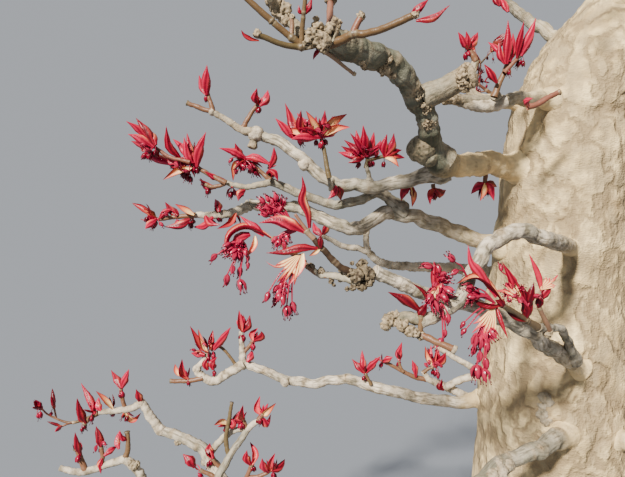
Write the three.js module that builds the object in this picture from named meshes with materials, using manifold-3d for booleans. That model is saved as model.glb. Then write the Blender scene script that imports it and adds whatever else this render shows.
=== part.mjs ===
// A bonsai of Japanese maple in early spring: pale trunk with root flare, gnarled boughs,
// and open sprays of fine twigs that carry red unfolding leaves and hanging flower clusters.
// Millimetres, +Z up. The origin is the middle of the flat cut at ground level, and the
// tree is looked at along +Y, with its long left side along -X.
import * as THREE from "three";
import { mergeVertices } from "three/addons/utils/BufferGeometryUtils.js";
import Module from "manifold-3d";

const wasm = await Module();
wasm.setup();

// Driving sizes
const GAP = 0.35; // air between a limb and the limb that carries it
const TIP_AIR = 0.85; // share of that air at a bough's tip, so that its spray stays clear
const TRUNK_SIDES = 16;
const BOUGH_SIDES = 6;
const RINGS = 2; // rings to each stretch between two bends
const TAPER = 0.8; // below 1, a bough thins fastest near its root
const FLARE = 46; // how far the roots spread past the trunk at the ground
const FLARE_HEIGHT = 36; // height over which the flare dies away
const ROOTS = 5;
const ROOT_LOBES = [0.5, 1]; // the flare between two roots and along one, as shares of it
const ROOT_DRIFT = 0.8; // how unevenly the roots stand around the trunk, radians
const CUT_CENTRE = new THREE.Vector3(9, -7, 0);

const LEAF = { length: 24, width: 9, thick: 2.8 };
const CLUSTER = { length: 24, width: 10, thick: 9 };
const CLUSTER_EVERY = 4; // twigs to each twig that has a cluster
const WIDEST = 0.4; // a leaf is widest at this share of its length
const FOOT_SIZE = 0.3; // half size of a leaf's stalk where it leaves the twig
const LEAF_LEANS = [0.45, -0.75]; // how far the end leaf and the second leaf lean off the twig
const LEAF_TURN = 2.4; // turn between the leaves of one twig and of the next, radians
const DROOP = 0.4; // how much of the twig's way a hanging cluster keeps
const FINENESS = 0.3; // detail smaller than this is smoothed off a spray
const SUNK = 3; // how deep the foot of a leaf or twig lies in its twig

const FLATNESS = 1.35; // a spray's space is this much wider than it is high
const LEVELS = 4; // forks between a spray's stem and its tips
const LEAF_ROOM = 11; // room that a twig's end leaves for its leaves inside the space
const LEAF_ROOM_SHARE = 0.2; // but no more than this share of the spray's reach
const TRIES = 4; // directions a shoot tries before it is left out
const KINK = 0.3; // how far a shoot may stray from its way at the first try
const SPREAD = 0.62; // half angle of a fork, radians
const FORK_TURN = 1.2; // how far the plane of a fork may turn, radians
const UNEVEN = 0.2; // lengths and angles vary by this share either way
const THINNING = 0.74;
const SHORTENING = 0.8;
const STEM_SHARE = 0.4; // length of a spray's stem, as a share of its reach
const SHOOT_SHARE = 0.3; // length of the shoots that carry on a given shoot
const FIRST_SHARE = 0.8; // radius of the first given shoot, as a share of the stem's
const OTHER_SHARE = 0.62; // and of the others
const STEM_TO_TIP = 0.85; // radius of a stem, as a share of its bough's tip
const LIFT = 0.16; // how strongly shoots turn up towards the light
const STEEP = 0.8; // a limb this upright has its rings laid out from +X
const CLEARANCE = 1.4; // air between a twig and any limb
const KNOT_STEP = 3; // spacing of the points that stand for a limb in that test

// Trunk: points on its axis, with the radius there
const TRUNK = [
  [0, 0, 0, 60],
  [0, 0, 60, 57],
  [0, 0, 150, 54],
  [-1, 0, 240, 49],
  [0, 0, 320, 45],
  [2, 0, 385, 41],
  [9, 0, 430, 37],
  [31, 0, 464, 32],
  [56, 2, 499, 27],
  [73, 4, 545, 22],
  [72, 3, 595, 17],
  [59, 0, 640, 12],
  [46, -4, 682, 7],
];

// Boughs on the side that is looked at: what carries each, its radius at root and tip, and
// its bends. A stub is a side shoot cut off long ago. A spray is the foliage at the tip: the
// middle and reach of its space, its seed, and shoots whose course is known.
const SHOWN_BOUGHS = {
  front_upper: {
    on: "trunk",
    radius: [8.4, 5.8],
    bends: [
      [-12, -2, 374], [-59, -28, 379], [-97, -60, 379],
      [-113, -88, 404], [-131, -106, 423], [-166, -140, 429],
    ],
    stubs: [
      { from: [-97, -60, 380], to: [-108, -66, 389], radius: 8.4 },
      { from: [-115, -90, 411], to: [-91, -93, 423], radius: 6 },
    ],
    spray: {
      centre: [-172, -144, 470],
      reach: 76,
      seed: 101,
      shoots: [
        [[-174, -145, 425], [-184, -148, 425], [-191, -150, 428]],
        [[-175, -145, 427], [-183, -143, 435], [-189, -141, 446]],
        [[-171, -146, 427], [-173, -149, 436], [-174, -150, 447]],
        [[-165, -147, 428], [-156, -150, 428], [-146, -153, 430], [-132, -157, 433]],
      ],
    },
  },
  left_upper: {
    on: "front_upper",
    radius: [5, 3.2],
    bends: [[-92, -55, 377], [-130, -51, 367], [-160, -50, 370], [-187, -48, 390], [-206, -45, 398]],
    stubs: [{ from: [-204, -45, 398], to: [-207, -47, 389], radius: 2.6 }],
    spray: {
      centre: [-226, -38, 420],
      reach: 58,
      seed: 205,
      bare: true,
      shoots: [
        [[-213, -45, 399], [-221, -46, 405], [-230, -46, 410], [-233, -46, 417], [-234, -46, 421]],
        [[-230, -46, 410], [-237, -46, 412], [-245, -44, 415]],
        [[-212, -45, 399], [-208, -45, 408], [-203, -45, 415]],
      ],
    },
  },
  left_mid: {
    on: "trunk",
    radius: [6.5, 3.4],
    bends: [
      [-20, 0, 320], [-61, -13, 330], [-114, -28, 349],
      [-150, -37, 341], [-180, -38, 352], [-210, -38, 355],
    ],
    spray: {
      centre: [-250, -26, 345],
      reach: 60,
      seed: 305,
      bare: true,
      shoots: [
        [
          [-219, -38, 350], [-231, -40, 348], [-243, -41, 349],
          [-255, -42, 347], [-265, -44, 346], [-271, -44, 350],
        ],
        [[-231, -40, 349], [-229, -41, 355]],
        [[-253, -42, 347], [-256, -44, 352]],
      ],
    },
  },
  left_inner: {
    on: "left_mid",
    radius: [4, 2.6],
    bends: [[-113, -28, 350], [-130, -34, 361], [-157, -43, 355], [-196, -51, 369]],
    spray: {
      centre: [-234, -86, 384],
      reach: 58,
      seed: 409,
      bare: true,
      shoots: [
        [[-210, -55, 366], [-221, -59, 368], [-232, -63, 374], [-240, -64, 380]],
        [[-240, -64, 380], [-250, -68, 383], [-259, -70, 387], [-263, -70, 391]],
        [[-201, -53, 374], [-207, -55, 380], [-211, -57, 383]],
        [[-221, -59, 368], [-228, -62, 366], [-233, -62, 369]],
      ],
    },
  },
  left_low: {
    on: "trunk",
    radius: [5.4, 3.4],
    bends: [
      [-14, 4, 219], [-66, 14, 207], [-108, 18, 213],
      [-147, 21, 222], [-180, 22, 219], [-223, 25, 233],
    ],
    spray: {
      centre: [-250, 27, 244],
      reach: 60,
      seed: 503,
      bare: true,
      shoots: [
        [
          [-234, 24, 226], [-245, 23, 220], [-253, 22, 224],
          [-257, 22, 230], [-252, 21, 236], [-248, 21, 244],
        ],
        [[-223, 27, 241], [-224, 26, 257]],
        [[-253, 22, 223], [-263, 20, 221], [-275, 19, 222]],
      ],
    },
  },
  low_left: {
    on: "trunk",
    radius: [7.8, 3.4],
    bends: [
      [-10, -8, 135], [-100, -42, 142], [-160, -52, 163],
      [-220, -47, 174], [-244, -34, 197], [-271, -28, 205],
    ],
    spray: {
      centre: [-309, -25, 228],
      reach: 56,
      seed: 601,
      shoots: [
        [[-284, -25, 219], [-294, -23, 218], [-312, -21, 216], [-320, -20, 211]],
        [[-294, -23, 218], [-300, -24, 236]],
      ],
    },
  },
  low_inner: {
    on: "low_left",
    radius: [3.4, 2.2],
    bends: [[-222, -46, 175], [-229, -54, 187], [-212, -42, 213]],
    spray: {
      centre: [-204, -38, 242],
      reach: 50,
      seed: 702,
      bare: true,
      shoots: [
        [[-208, -42, 218], [-205, -42, 225]],
        [[-209, -41, 216], [-202, -42, 218], [-198, -42, 224]],
        [[-213, -41, 214], [-215, -42, 219]],
      ],
    },
  },
  front_lower: {
    on: "trunk",
    radius: [5.4, 2.8],
    bends: [[6, -30, 246], [-48, -100, 284], [-86, -128, 308], [-123, -144, 321], [-145, -153, 332]],
    spray: {
      centre: [-172, -154, 342],
      reach: 42,
      seed: 809,
      bare: true,
      shoots: [
        [[-151, -155, 332], [-161, -157, 337], [-168, -159, 342], [-174, -160, 350]],
        [[-151, -152, 330], [-167, -147, 330], [-176, -147, 336], [-187, -147, 344]],
      ],
    },
  },
  front_side: {
    on: "front_lower",
    radius: [2.5, 2],
    bends: [[-22, -75, 268], [-45, -108, 294], [-68, -133, 303]],
    spray: {
      centre: [-88, -147, 323],
      reach: 46,
      seed: 907,
      bare: true,
      shoots: [
        [[-79, -142, 309], [-89, -147, 316], [-94, -149, 319]],
        [[-72, -140, 306], [-74, -145, 316]],
      ],
    },
  },
  front_arch: {
    on: "trunk",
    radius: [5, 3],
    bends: [
      [-2, -24, 326], [-50, -100, 339], [-76, -120, 345],
      [-97, -136, 335], [-109, -151, 320], [-127, -156, 311],
    ],
    spray: {
      centre: [-130, -157, 309],
      reach: 27,
      seed: 1009,
      bare: true,
      shoots: [
        [[-132, -157, 312], [-140, -159, 312]],
        [[-128, -160, 309], [-122, -163, 305], [-113, -165, 302]],
        [[-130, -159, 311], [-130, -160, 317]],
      ],
    },
  },
  upper_left: {
    on: "trunk",
    radius: [6.5, 3],
    bends: [[0, -6, 416], [-34, -34, 420], [-62, -58, 414], [-71, -70, 416]],
    stubs: [{ from: [-66, -62, 414], to: [-99, -70, 414], radius: 2.8 }],
    spray: {
      centre: [-72, -100, 446],
      reach: 54,
      seed: 1103,
      bare: true,
      shoots: [
        [[-73, -80, 419], [-75, -98, 427], [-78, -108, 438]],
        [[-73, -80, 419], [-66, -88, 432]],
        [[-75, -92, 424], [-83, -94, 432]],
      ],
    },
  },
  upper_inner: {
    on: "trunk",
    radius: [5, 2.6],
    bends: [[-6, 2, 413], [-44, -4, 421], [-69, -13, 427], [-67, -16, 446]],
    spray: {
      centre: [-66, -12, 476],
      reach: 54,
      seed: 1201,
      bare: true,
      shoots: [
        [[-71, -15, 455], [-74, -15, 461]],
        [[-71, -15, 454], [-67, -16, 462]],
      ],
    },
  },
  low_right: {
    on: "trunk",
    radius: [8, 3.4],
    bends: [[14, -16, 208], [-26, -60, 213], [-66, -85, 210], [-103, -101, 195]],
    spray: { centre: [-138, -118, 182], reach: 62, seed: 1301 },
  },
  top_back: {
    on: "trunk",
    radius: [8, 3.6],
    bends: [[30, 4, 456], [28, 38, 462], [2, 83, 498], [-30, 108, 541]],
    spray: { centre: [-50, 120, 580], reach: 84, seed: 1409 },
  },
  mid_fore: {
    on: "left_upper",
    radius: [2.4, 1.7],
    bends: [[-160, -50, 370], [-161, -80, 365], [-163, -107, 371]],
    spray: {
      centre: [-178, -118, 392],
      reach: 44,
      seed: 1507,
      bare: true,
      shoots: [
        [[-164, -105, 380], [-166, -106, 386], [-168, -106, 392]],
      ],
    },
  },
  mid_back: {
    on: "left_upper",
    radius: [2.4, 1.8],
    bends: [[-137, -51, 367], [-137, -43, 372], [-138, -35, 378]],
    spray: {
      centre: [-142, -22, 398],
      reach: 42,
      seed: 1601,
      bare: true,
      shoots: [
        [[-137, -35, 382], [-138, -34, 386]],
        [[-137, -35, 382], [-130, -36, 384]],
      ],
    },
  },
};

// Boughs on the other sides, each worked out from its height on the trunk, its azimuth, how
// far it reaches, how much it rises on the way, and the reach of the spray that it ends in
const SWAY = 0.09; // sideways bends, as a share of the reach
const SAG = 0.06; // bends up and down
const BENDS = 3;
const HIDDEN_BOUGHS = {
  right_low: { height: 178, azimuth: -14, reach: 150, rise: 26, radius: [10, 4.4], seed: 17, crown: 98 },
  right_mid: { height: 292, azimuth: 18, reach: 128, rise: 34, radius: [8, 4], seed: 29, crown: 90 },
  right_front: { height: 366, azimuth: -34, reach: 112, rise: 30, radius: [7, 3.6], seed: 31, crown: 79 },
  front_low: { height: 196, azimuth: -66, reach: 108, rise: 26, radius: [8, 3.8], seed: 43, crown: 73 },
  back_low: { height: 226, azimuth: 84, reach: 124, rise: 26, radius: [8, 4], seed: 59, crown: 80 },
  back_right: { height: 318, azimuth: 52, reach: 116, rise: 32, radius: [7.5, 3.8], seed: 61, crown: 84 },
  back_left: { height: 404, azimuth: 94, reach: 112, rise: 34, radius: [7, 3.6], seed: 71, crown: 76 },
  top_left: { height: 500, azimuth: 186, reach: 118, rise: 46, radius: [6.5, 3.4], seed: 83, crown: 80 },
  top_front: { height: 468, azimuth: -98, reach: 84, rise: 34, radius: [6.5, 3.2], seed: 97, crown: 72 },
  top_right: { height: 512, azimuth: -8, reach: 84, rise: 30, radius: [6.5, 3.2], seed: 103, crown: 84 },
  crown_back: { height: 556, azimuth: 76, reach: 62, rise: 32, radius: [5, 2.8], seed: 113, crown: 74 },
  crown_left: { height: 590, azimuth: 200, reach: 56, rise: 28, radius: [4.6, 2.6], seed: 127, crown: 70 },
  crown_right: { height: 622, azimuth: -30, reach: 42, rise: 26, radius: [4.2, 2.4], seed: 139, crown: 62 },
};
const CROWN_OUT = 0.64; // the middle of such a spray's space lies this far past the tip
const CROWN_UP = 0.2; // and this far above it, as shares of the spray's reach
const APEX_SPRAY = { centre: [34, -6, 728], reach: 64, seed: 137 };

const COLOURS = {
  trunk: { color: 0xd6c6a4, roughness: 0.85 },
  bough: { color: 0xb9b5a3, roughness: 0.8 },
  spray: { color: 0xb5172c, roughness: 0.55 },
};

const UP = new THREE.Vector3(0, 0, 1);
const vector = (p) => new THREE.Vector3(p[0], p[1], p[2]);
const mix = (a, b, share) => a + (b - a) * share;

// Seeded numbers from 0 to 1
const DICE_SIZE = 2147483647;
const DICE_FACTOR = 16807;
const SEED_STRIDE = 7919; // keeps apart what neighbouring seeds give

function dice(seed) {
  let state = (seed * SEED_STRIDE) % DICE_SIZE;
  return () => {
    state = (state * DICE_FACTOR) % DICE_SIZE;
    return state / DICE_SIZE;
  };
}

// The way the line runs at each of its points
function headings(line, firstWay) {
  return line.map((point, i) => {
    if (i === 0 && firstWay) return firstWay.clone();
    const before = line[Math.max(i - 1, 0)];
    const after = line[Math.min(i + 1, line.length - 1)];
    return after.clone().sub(before).normalize();
  });
}

// A closed tapering tube. sizeAt(i, angle) gives the half width and half thickness of ring i,
// and a ring without size closes the tube in a point.
function sweep(line, sizeAt, sides, { firstWay, acrossAt, footCentre } = {}) {
  const ways = headings(line, firstWay);
  const sideways = acrossAt ?? (Math.abs(ways[0].z) > STEEP ? new THREE.Vector3(1, 0, 0) : UP);
  const across = sideways.clone().addScaledVector(ways[0], -sideways.dot(ways[0])).normalize();
  const places = [];
  const pointed = sizeAt(line.length - 1, 0)[0] === 0;
  const rings = pointed ? line.length - 1 : line.length;
  for (let i = 0; i < rings; i++) {
    if (i > 0) across.applyQuaternion(new THREE.Quaternion().setFromUnitVectors(ways[i - 1], ways[i]));
    const beside = new THREE.Vector3().crossVectors(ways[i], across).normalize();
    for (let k = 0; k < sides; k++) {
      const angle = 2 * Math.PI * (k / sides) + (sides === 3 ? Math.PI / 2 : 0);
      const [wide, thick] = sizeAt(i, angle);
      const place = line[i].clone();
      place.addScaledVector(across, wide * Math.cos(angle));
      places.push(place.addScaledVector(beside, thick * Math.sin(angle)));
    }
  }
  const faces = [];
  for (let i = 0; i < rings - 1; i++) {
    for (let k = 0; k < sides; k++) {
      const [a, b] = [i * sides + k, i * sides + ((k + 1) % sides)];
      faces.push(a, b, b + sides, a, b + sides, a + sides);
    }
  }
  const last = (rings - 1) * sides;
  if (footCentre) {
    for (let k = 0; k < sides; k++) faces.push(places.length, (k + 1) % sides, k);
    places.push(footCentre);
  } else {
    for (let k = 1; k < sides - 1; k++) faces.push(0, k + 1, k);
  }
  if (pointed) {
    for (let k = 0; k < sides; k++) faces.push(places.length, last + k, last + ((k + 1) % sides));
    places.push(line[line.length - 1]);
  } else {
    for (let k = 1; k < sides - 1; k++) faces.push(last, last + k, last + k + 1);
  }
  return new THREE.BufferGeometry().setFromPoints(places).setIndex(faces);
}

// three.js geometry to a solid that can be joined and cut, and back
function solid(geometry) {
  const bare = geometry.clone();
  bare.deleteAttribute("normal");
  bare.deleteAttribute("uv");
  const merged = mergeVertices(bare, 1e-4);
  const vertProperties = merged.getAttribute("position").array;
  const triVerts = new Uint32Array(merged.index.array);
  return new wasm.Manifold(new wasm.Mesh({ numProp: 3, vertProperties, triVerts }));
}

function geometryOf(shape) {
  const mesh = shape.getMesh();
  const places = new Float32Array(mesh.numVert * 3);
  for (let i = 0; i < mesh.numVert; i++) {
    places.set(mesh.vertProperties.subarray(i * mesh.numProp, i * mesh.numProp + 3), i * 3);
  }
  return new THREE.BufferGeometry()
    .setAttribute("position", new THREE.BufferAttribute(places, 3))
    .setIndex([...mesh.triVerts]);
}

// The largest of a shape's separate bodies: loose scraps are dropped
function oneBody(shape) {
  return shape.decompose().sort((a, b) => b.volume() - a.volume())[0];
}

// A smooth line through the bends, with the same number of rings to each stretch
function smoothLine(bends) {
  const curve = new THREE.CatmullRomCurve3(bends, false, "catmullrom", 0.5);
  return curve.getPoints(RINGS * (bends.length - 1));
}

// A limb is its name, its line and the radius at each point of the line
function limb(name, bends, [root, tip]) {
  const line = smoothLine(bends);
  return { name, line, radii: line.map((p, i) => mix(root, tip, (i / (line.length - 1)) ** TAPER)) };
}

// Trunk
function rootFlare(height, angle) {
  const lobe = 0.5 + 0.5 * Math.cos(ROOTS * angle + ROOT_DRIFT * Math.sin(2 * angle));
  return FLARE * Math.exp(-height / FLARE_HEIGHT) * mix(...ROOT_LOBES, lobe);
}

function trunkLimb() {
  const line = smoothLine(TRUNK.map(vector));
  const radii = line.map((p, i) => {
    const k = Math.min(Math.floor(i / RINGS), TRUNK.length - 2);
    return mix(TRUNK[k][3], TRUNK[k + 1][3], i / RINGS - k);
  });
  return { name: "trunk", line, radii };
}

function trunkShape(trunk, grown) {
  const sizeAt = (i, angle) => {
    const radius = trunk.radii[i] + grown + rootFlare(trunk.line[i].z, angle);
    return [radius, radius];
  };
  return solid(sweep(trunk.line, sizeAt, TRUNK_SIDES, { firstWay: UP, footCentre: CUT_CENTRE }));
}

function trunkAxisAt(height) {
  const k = TRUNK.findIndex((p, i) => i > 0 && p[2] >= height);
  const share = (height - TRUNK[k - 1][2]) / (TRUNK[k][2] - TRUNK[k - 1][2]);
  return vector(TRUNK[k - 1]).lerp(vector(TRUNK[k]), share);
}

// Boughs
function hiddenBends({ height, azimuth, reach, rise, seed }) {
  const roll = dice(seed);
  const turn = THREE.MathUtils.degToRad(azimuth);
  const out = new THREE.Vector3(Math.cos(turn), Math.sin(turn), 0);
  const beside = new THREE.Vector3(-out.y, out.x, 0);
  const root = trunkAxisAt(height);
  const bends = [root];
  for (let k = 1; k <= BENDS; k++) {
    const bend = root.clone().addScaledVector(out, (reach * k) / BENDS);
    bend.addScaledVector(beside, (2 * roll() - 1) * SWAY * reach);
    bends.push(bend.addScaledVector(UP, (rise * k) / BENDS + (2 * roll() - 1) * SAG * reach));
  }
  return bends;
}

// A limb with its stubs, thickened by the given air, and lengthened by a little less of it
function limbShape(bough, grown) {
  const tip = bough.line[bough.line.length - 1];
  const way = tip.clone().sub(bough.line[bough.line.length - 2]).normalize();
  const longer = tip.clone().addScaledVector(way, grown * TIP_AIR);
  const line = grown ? [...bough.line, longer] : bough.line;
  const radii = [...bough.radii, bough.radii[bough.radii.length - 1]].map((radius) => radius + grown);
  let shape = solid(sweep(line, (i) => [radii[i], radii[i]], BOUGH_SIDES));
  for (const stub of bough.stubs ?? []) {
    const size = [stub.radius + grown, stub.radius + grown];
    shape = shape.add(solid(sweep([vector(stub.from), vector(stub.to)], () => size, BOUGH_SIDES)));
  }
  return shape;
}

// Points that stand for all limbs when a twig is tested against them
function limbKnots(limbs) {
  const knots = [];
  for (const { name, line, radii } of limbs) {
    for (let i = 0; i < line.length - 1; i++) {
      const parts = Math.ceil(line[i].distanceTo(line[i + 1]) / KNOT_STEP);
      for (let k = 0; k < parts; k++) {
        const at = line[i].clone().lerp(line[i + 1], k / parts);
        knots.push({ name, at, radius: mix(radii[i], radii[i + 1], k / parts) });
      }
    }
  }
  return knots;
}

// Sprays
function stretched(a, b) {
  return Math.hypot(a.x - b.x, a.y - b.y, (a.z - b.z) * FLATNESS);
}

// Whether a point lies in the spray's own space, clear of its neighbours' by the margin
function inSpace(spray, sprays, point, margin) {
  const own = stretched(point, spray.centre);
  if (own > spray.reach - margin) return false;
  return sprays.every((other) => {
    if (other === spray) return true;
    const between = stretched(spray.centre, other.centre);
    if (between > spray.reach + other.reach) return true;
    const power = stretched(point, other.centre) ** 2 - other.reach ** 2 - own ** 2 + spray.reach ** 2;
    return power / (2 * between) > margin * FLATNESS;
  });
}

function touchesLimb(knots, a, b, radius, butNot) {
  const parts = Math.max(1, Math.ceil(a.distanceTo(b) / KNOT_STEP));
  for (let k = 0; k <= parts; k++) {
    const point = a.clone().lerp(b, k / parts);
    const near = (knot) => knot.at.distanceTo(point) < knot.radius + radius + CLEARANCE;
    if (knots.some((knot) => knot.name !== butNot && near(knot))) return true;
  }
  return false;
}

function uneven(roll) {
  return mix(1 - UNEVEN, 1 + UNEVEN, roll());
}

// The point of the twigs grown so far that lies nearest to a place
function nearestOn(twigs, place) {
  const nearest = [];
  for (const { line } of twigs) {
    for (let i = 1; i < line.length; i++) {
      const part = new THREE.Line3(line[i - 1], line[i]);
      nearest.push(part.closestPointToPoint(place, true, new THREE.Vector3()));
    }
  }
  return nearest.sort((a, b) => a.distanceTo(place) - b.distanceTo(place))[0];
}

// The rule: a shoot grows on from the end of its twig, and at the node there it forks. One
// fork carries the twig on, the other starts a twig of its own, each fork a quarter turn from
// the last. A shoot that would leave the space or touch a limb is turned, then left out.
function growShoot(spray, world, twig, shoot) {
  const { roll, twigs } = spray;
  const from = shoot.from;
  const ownLimb = shoot.level < 2 ? spray.limb : "";
  let way;
  let end;
  for (let attempt = 0; attempt < TRIES && !end; attempt++) {
    const kink = new THREE.Vector3(roll() - 0.5, roll() - 0.5, roll() - 0.5);
    way = shoot.way.clone().addScaledVector(kink, KINK * (1 + attempt)).addScaledVector(UP, LIFT).normalize();
    const there = from.clone().addScaledVector(way, shoot.length * uneven(roll));
    const room = Math.min(LEAF_ROOM, spray.reach * LEAF_ROOM_SHARE);
    const free = inSpace(spray, world.sprays, there, room);
    if (free && !touchesLimb(world.knots, from, there, shoot.radius, ownLimb)) end = there;
  }
  if (!end) return;
  if (twig.line.length === 1) twigs.push(twig);
  twig.line.push(end);
  twig.radii.push(shoot.radius * THINNING);
  if (shoot.level === LEVELS - 1) return;
  const flat = new THREE.Vector3().crossVectors(way, UP).normalize();
  const axis = shoot.level % 2 === 0 ? new THREE.Vector3().crossVectors(flat, way) : flat;
  axis.applyAxisAngle(way, (roll() - 0.5) * FORK_TURN);
  for (const side of [1, -1]) {
    const next = {
      from: end,
      way: way.clone().applyAxisAngle(axis, side * SPREAD * uneven(roll)),
      length: shoot.length * SHORTENING,
      radius: shoot.radius * THINNING,
      level: shoot.level + 1,
    };
    const carrier = side === 1 ? twig : { line: [end], radii: [next.radius] };
    growShoot(spray, world, carrier, next);
  }
}

// All twigs of a spray: first those whose course is given, then the rule's own
function growSpray(spray, world) {
  Object.assign(spray, { roll: dice(spray.seed), twigs: [] });
  const stem = spray.tip.clone().addScaledVector(spray.way, GAP);
  const given = spray.shoots ?? [];
  for (const points of given) {
    const first = spray.twigs.length === 0;
    const start = first ? stem : nearestOn(spray.twigs, points[0]);
    const line = [start, ...points.filter((point) => point.distanceTo(start) > SUNK)];
    const radius = spray.radius * (first ? FIRST_SHARE : OTHER_SHARE);
    const radii = line.map((p, i) => mix(radius, radius * THINNING, i / (line.length - 1)));
    spray.twigs.push({ line, radii });
  }
  if (spray.bare) return;
  for (const twig of [...spray.twigs]) {
    const [before, from] = twig.line.slice(-2);
    const way = from.clone().sub(before).normalize();
    growShoot(spray, world, twig, {
      from,
      way,
      length: spray.reach * SHOOT_SHARE,
      radius: twig.radii[twig.radii.length - 1],
      level: given.length > 2 ? 2 : 1,
    });
  }
  if (given.length) return;
  const twig = { line: [stem], radii: [spray.radius] };
  growShoot(spray, world, twig, {
    from: stem,
    way: spray.way,
    length: spray.reach * STEM_SHARE,
    radius: spray.radius,
    level: 0,
  });
}

// A leaf or a hanging flower cluster as a slim blade that starts inside its twig
function blade(foot, way, { length, width, thick }, beside) {
  const line = [0, WIDEST, 1].map((share) => foot.clone().addScaledVector(way, length * share));
  const sizes = [[FOOT_SIZE, FOOT_SIZE], [width / 2, thick / 2], [0, 0]];
  return solid(sweep(line, (i) => sizes[i], 3, { acrossAt: beside }));
}

function bladeFits(spray, world, foot, way, { length, width }) {
  const middle = foot.clone().addScaledVector(way, length * WIDEST);
  const far = foot.clone().addScaledVector(way, length);
  if (!inSpace(spray, world.sprays, far, CLEARANCE)) return false;
  if (!inSpace(spray, world.sprays, middle, width / 2)) return false;
  return !touchesLimb(world.knots, middle, far, width / 2, "");
}

// The solid of one spray: each three-sided twig ends in an unfolding leaf, has a second leaf
// beside it, and some have a hanging flower cluster
function sprayShape(spray, world) {
  const parts = [];
  spray.twigs.forEach((twig, index) => {
    const line = [...twig.line];
    const sizes = twig.radii.map((radius) => [radius, radius]);
    const wayIn = line[1].clone().sub(line[0]).normalize();
    if (index > 0) line[0] = line[0].clone().addScaledVector(wayIn, -Math.min(SUNK, twig.radii[0]));
    const end = line[line.length - 1];
    const way = end.clone().sub(line[line.length - 2]).normalize();
    const turn = index * LEAF_TURN;
    const beside = new THREE.Vector3(Math.cos(turn), Math.sin(turn), 0).cross(way).normalize();
    const leafWays = LEAF_LEANS.map((lean) => way.clone().addScaledVector(beside, lean).normalize());
    if (bladeFits(spray, world, end, leafWays[0], LEAF)) {
      line.push(end.clone().addScaledVector(leafWays[0], LEAF.length * WIDEST));
      line.push(end.clone().addScaledVector(leafWays[0], LEAF.length));
      sizes.push([LEAF.width / 2, LEAF.thick / 2], [0, 0]);
    }
    const firstWay = index === 0 ? spray.way : undefined;
    parts.push(solid(sweep(line, (i) => sizes[i], 3, { firstWay, acrossAt: beside })));
    const foot = end.clone().addScaledVector(way, -SUNK);
    if (bladeFits(spray, world, foot, leafWays[1], LEAF)) parts.push(blade(foot, leafWays[1], LEAF, beside));
    const down = new THREE.Vector3(way.x * DROOP, way.y * DROOP, -1).normalize();
    const flowers = index % CLUSTER_EVERY === 1 && bladeFits(spray, world, foot, down, CLUSTER);
    if (flowers) parts.push(blade(foot, down, CLUSTER, beside));
  });
  const own = limbShape(world.limbs.find((l) => l.name === spray.limb), GAP);
  return oneBody(wasm.Manifold.union(parts).simplify(FINENESS).subtract(own));
}

// The tree, put together
const tree = new THREE.Group();

function addPiece(name, shape, look) {
  const material = new THREE.MeshStandardMaterial({ ...COLOURS[look], metalness: 0 });
  const mesh = new THREE.Mesh(geometryOf(shape), material);
  mesh.name = name;
  tree.add(mesh);
}

const trunk = trunkLimb();
const limbs = [trunk];
const sprays = [];

for (const [name, bough] of Object.entries(SHOWN_BOUGHS)) {
  const made = limb(name, bough.bends.map(vector), bough.radius);
  limbs.push({ ...made, on: bough.on, stubs: bough.stubs });
  const centre = vector(bough.spray.centre);
  const shoots = bough.spray.shoots?.map((points) => points.map(vector));
  sprays.push({ name: `spray_${name}`, limb: name, ...bough.spray, centre, shoots });
}
for (const [name, bough] of Object.entries(HIDDEN_BOUGHS)) {
  const made = limb(name, hiddenBends(bough), bough.radius);
  limbs.push({ ...made, on: "trunk" });
  const tip = made.line[made.line.length - 1];
  const out = tip.clone().sub(made.line[0]).setZ(0).normalize();
  const centre = tip.clone().addScaledVector(out, bough.crown * CROWN_OUT);
  centre.addScaledVector(UP, bough.crown * CROWN_UP);
  sprays.push({ name: `spray_${name}`, limb: name, centre, reach: bough.crown, seed: bough.seed + 1 });
}
sprays.push({ name: "spray_apex", limb: "trunk", ...APEX_SPRAY, centre: vector(APEX_SPRAY.centre) });

for (const spray of sprays) {
  const carrier = limbs.find((l) => l.name === spray.limb);
  const [before, tip] = carrier.line.slice(-2);
  spray.tip = tip;
  spray.way = tip.clone().sub(before).normalize();
  spray.radius = carrier.radii[carrier.radii.length - 1] * STEM_TO_TIP;
}

addPiece("trunk", trunkShape(trunk, 0), "trunk");
for (const bough of limbs.slice(1)) {
  const carrier = limbs.find((l) => l.name === bough.on);
  const grown = carrier === trunk ? trunkShape(trunk, GAP) : limbShape(carrier, GAP);
  addPiece(`bough_${bough.name}`, oneBody(limbShape(bough, 0).subtract(grown)), "bough");
}
const world = { sprays, limbs, knots: limbKnots(limbs) };
for (const spray of sprays) {
  growSpray(spray, world);
  addPiece(spray.name, sprayShape(spray, world), "spray");
}

export default tree;
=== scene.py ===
import math

import bpy
import numpy as np
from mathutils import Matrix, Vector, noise


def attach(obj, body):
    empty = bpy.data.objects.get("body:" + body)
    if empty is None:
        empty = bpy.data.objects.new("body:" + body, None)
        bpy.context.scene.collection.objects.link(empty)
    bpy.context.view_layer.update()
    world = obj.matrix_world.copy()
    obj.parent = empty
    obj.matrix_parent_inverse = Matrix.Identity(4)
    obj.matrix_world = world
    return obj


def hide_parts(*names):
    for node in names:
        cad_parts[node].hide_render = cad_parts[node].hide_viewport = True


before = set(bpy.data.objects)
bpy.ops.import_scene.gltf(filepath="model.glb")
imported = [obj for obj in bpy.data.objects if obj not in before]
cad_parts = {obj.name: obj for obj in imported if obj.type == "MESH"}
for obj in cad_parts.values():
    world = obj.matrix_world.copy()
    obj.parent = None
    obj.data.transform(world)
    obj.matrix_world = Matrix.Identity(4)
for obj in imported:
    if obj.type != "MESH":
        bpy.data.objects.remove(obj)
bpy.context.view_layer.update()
bpy.ops.object.select_all(action="DESELECT")

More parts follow.
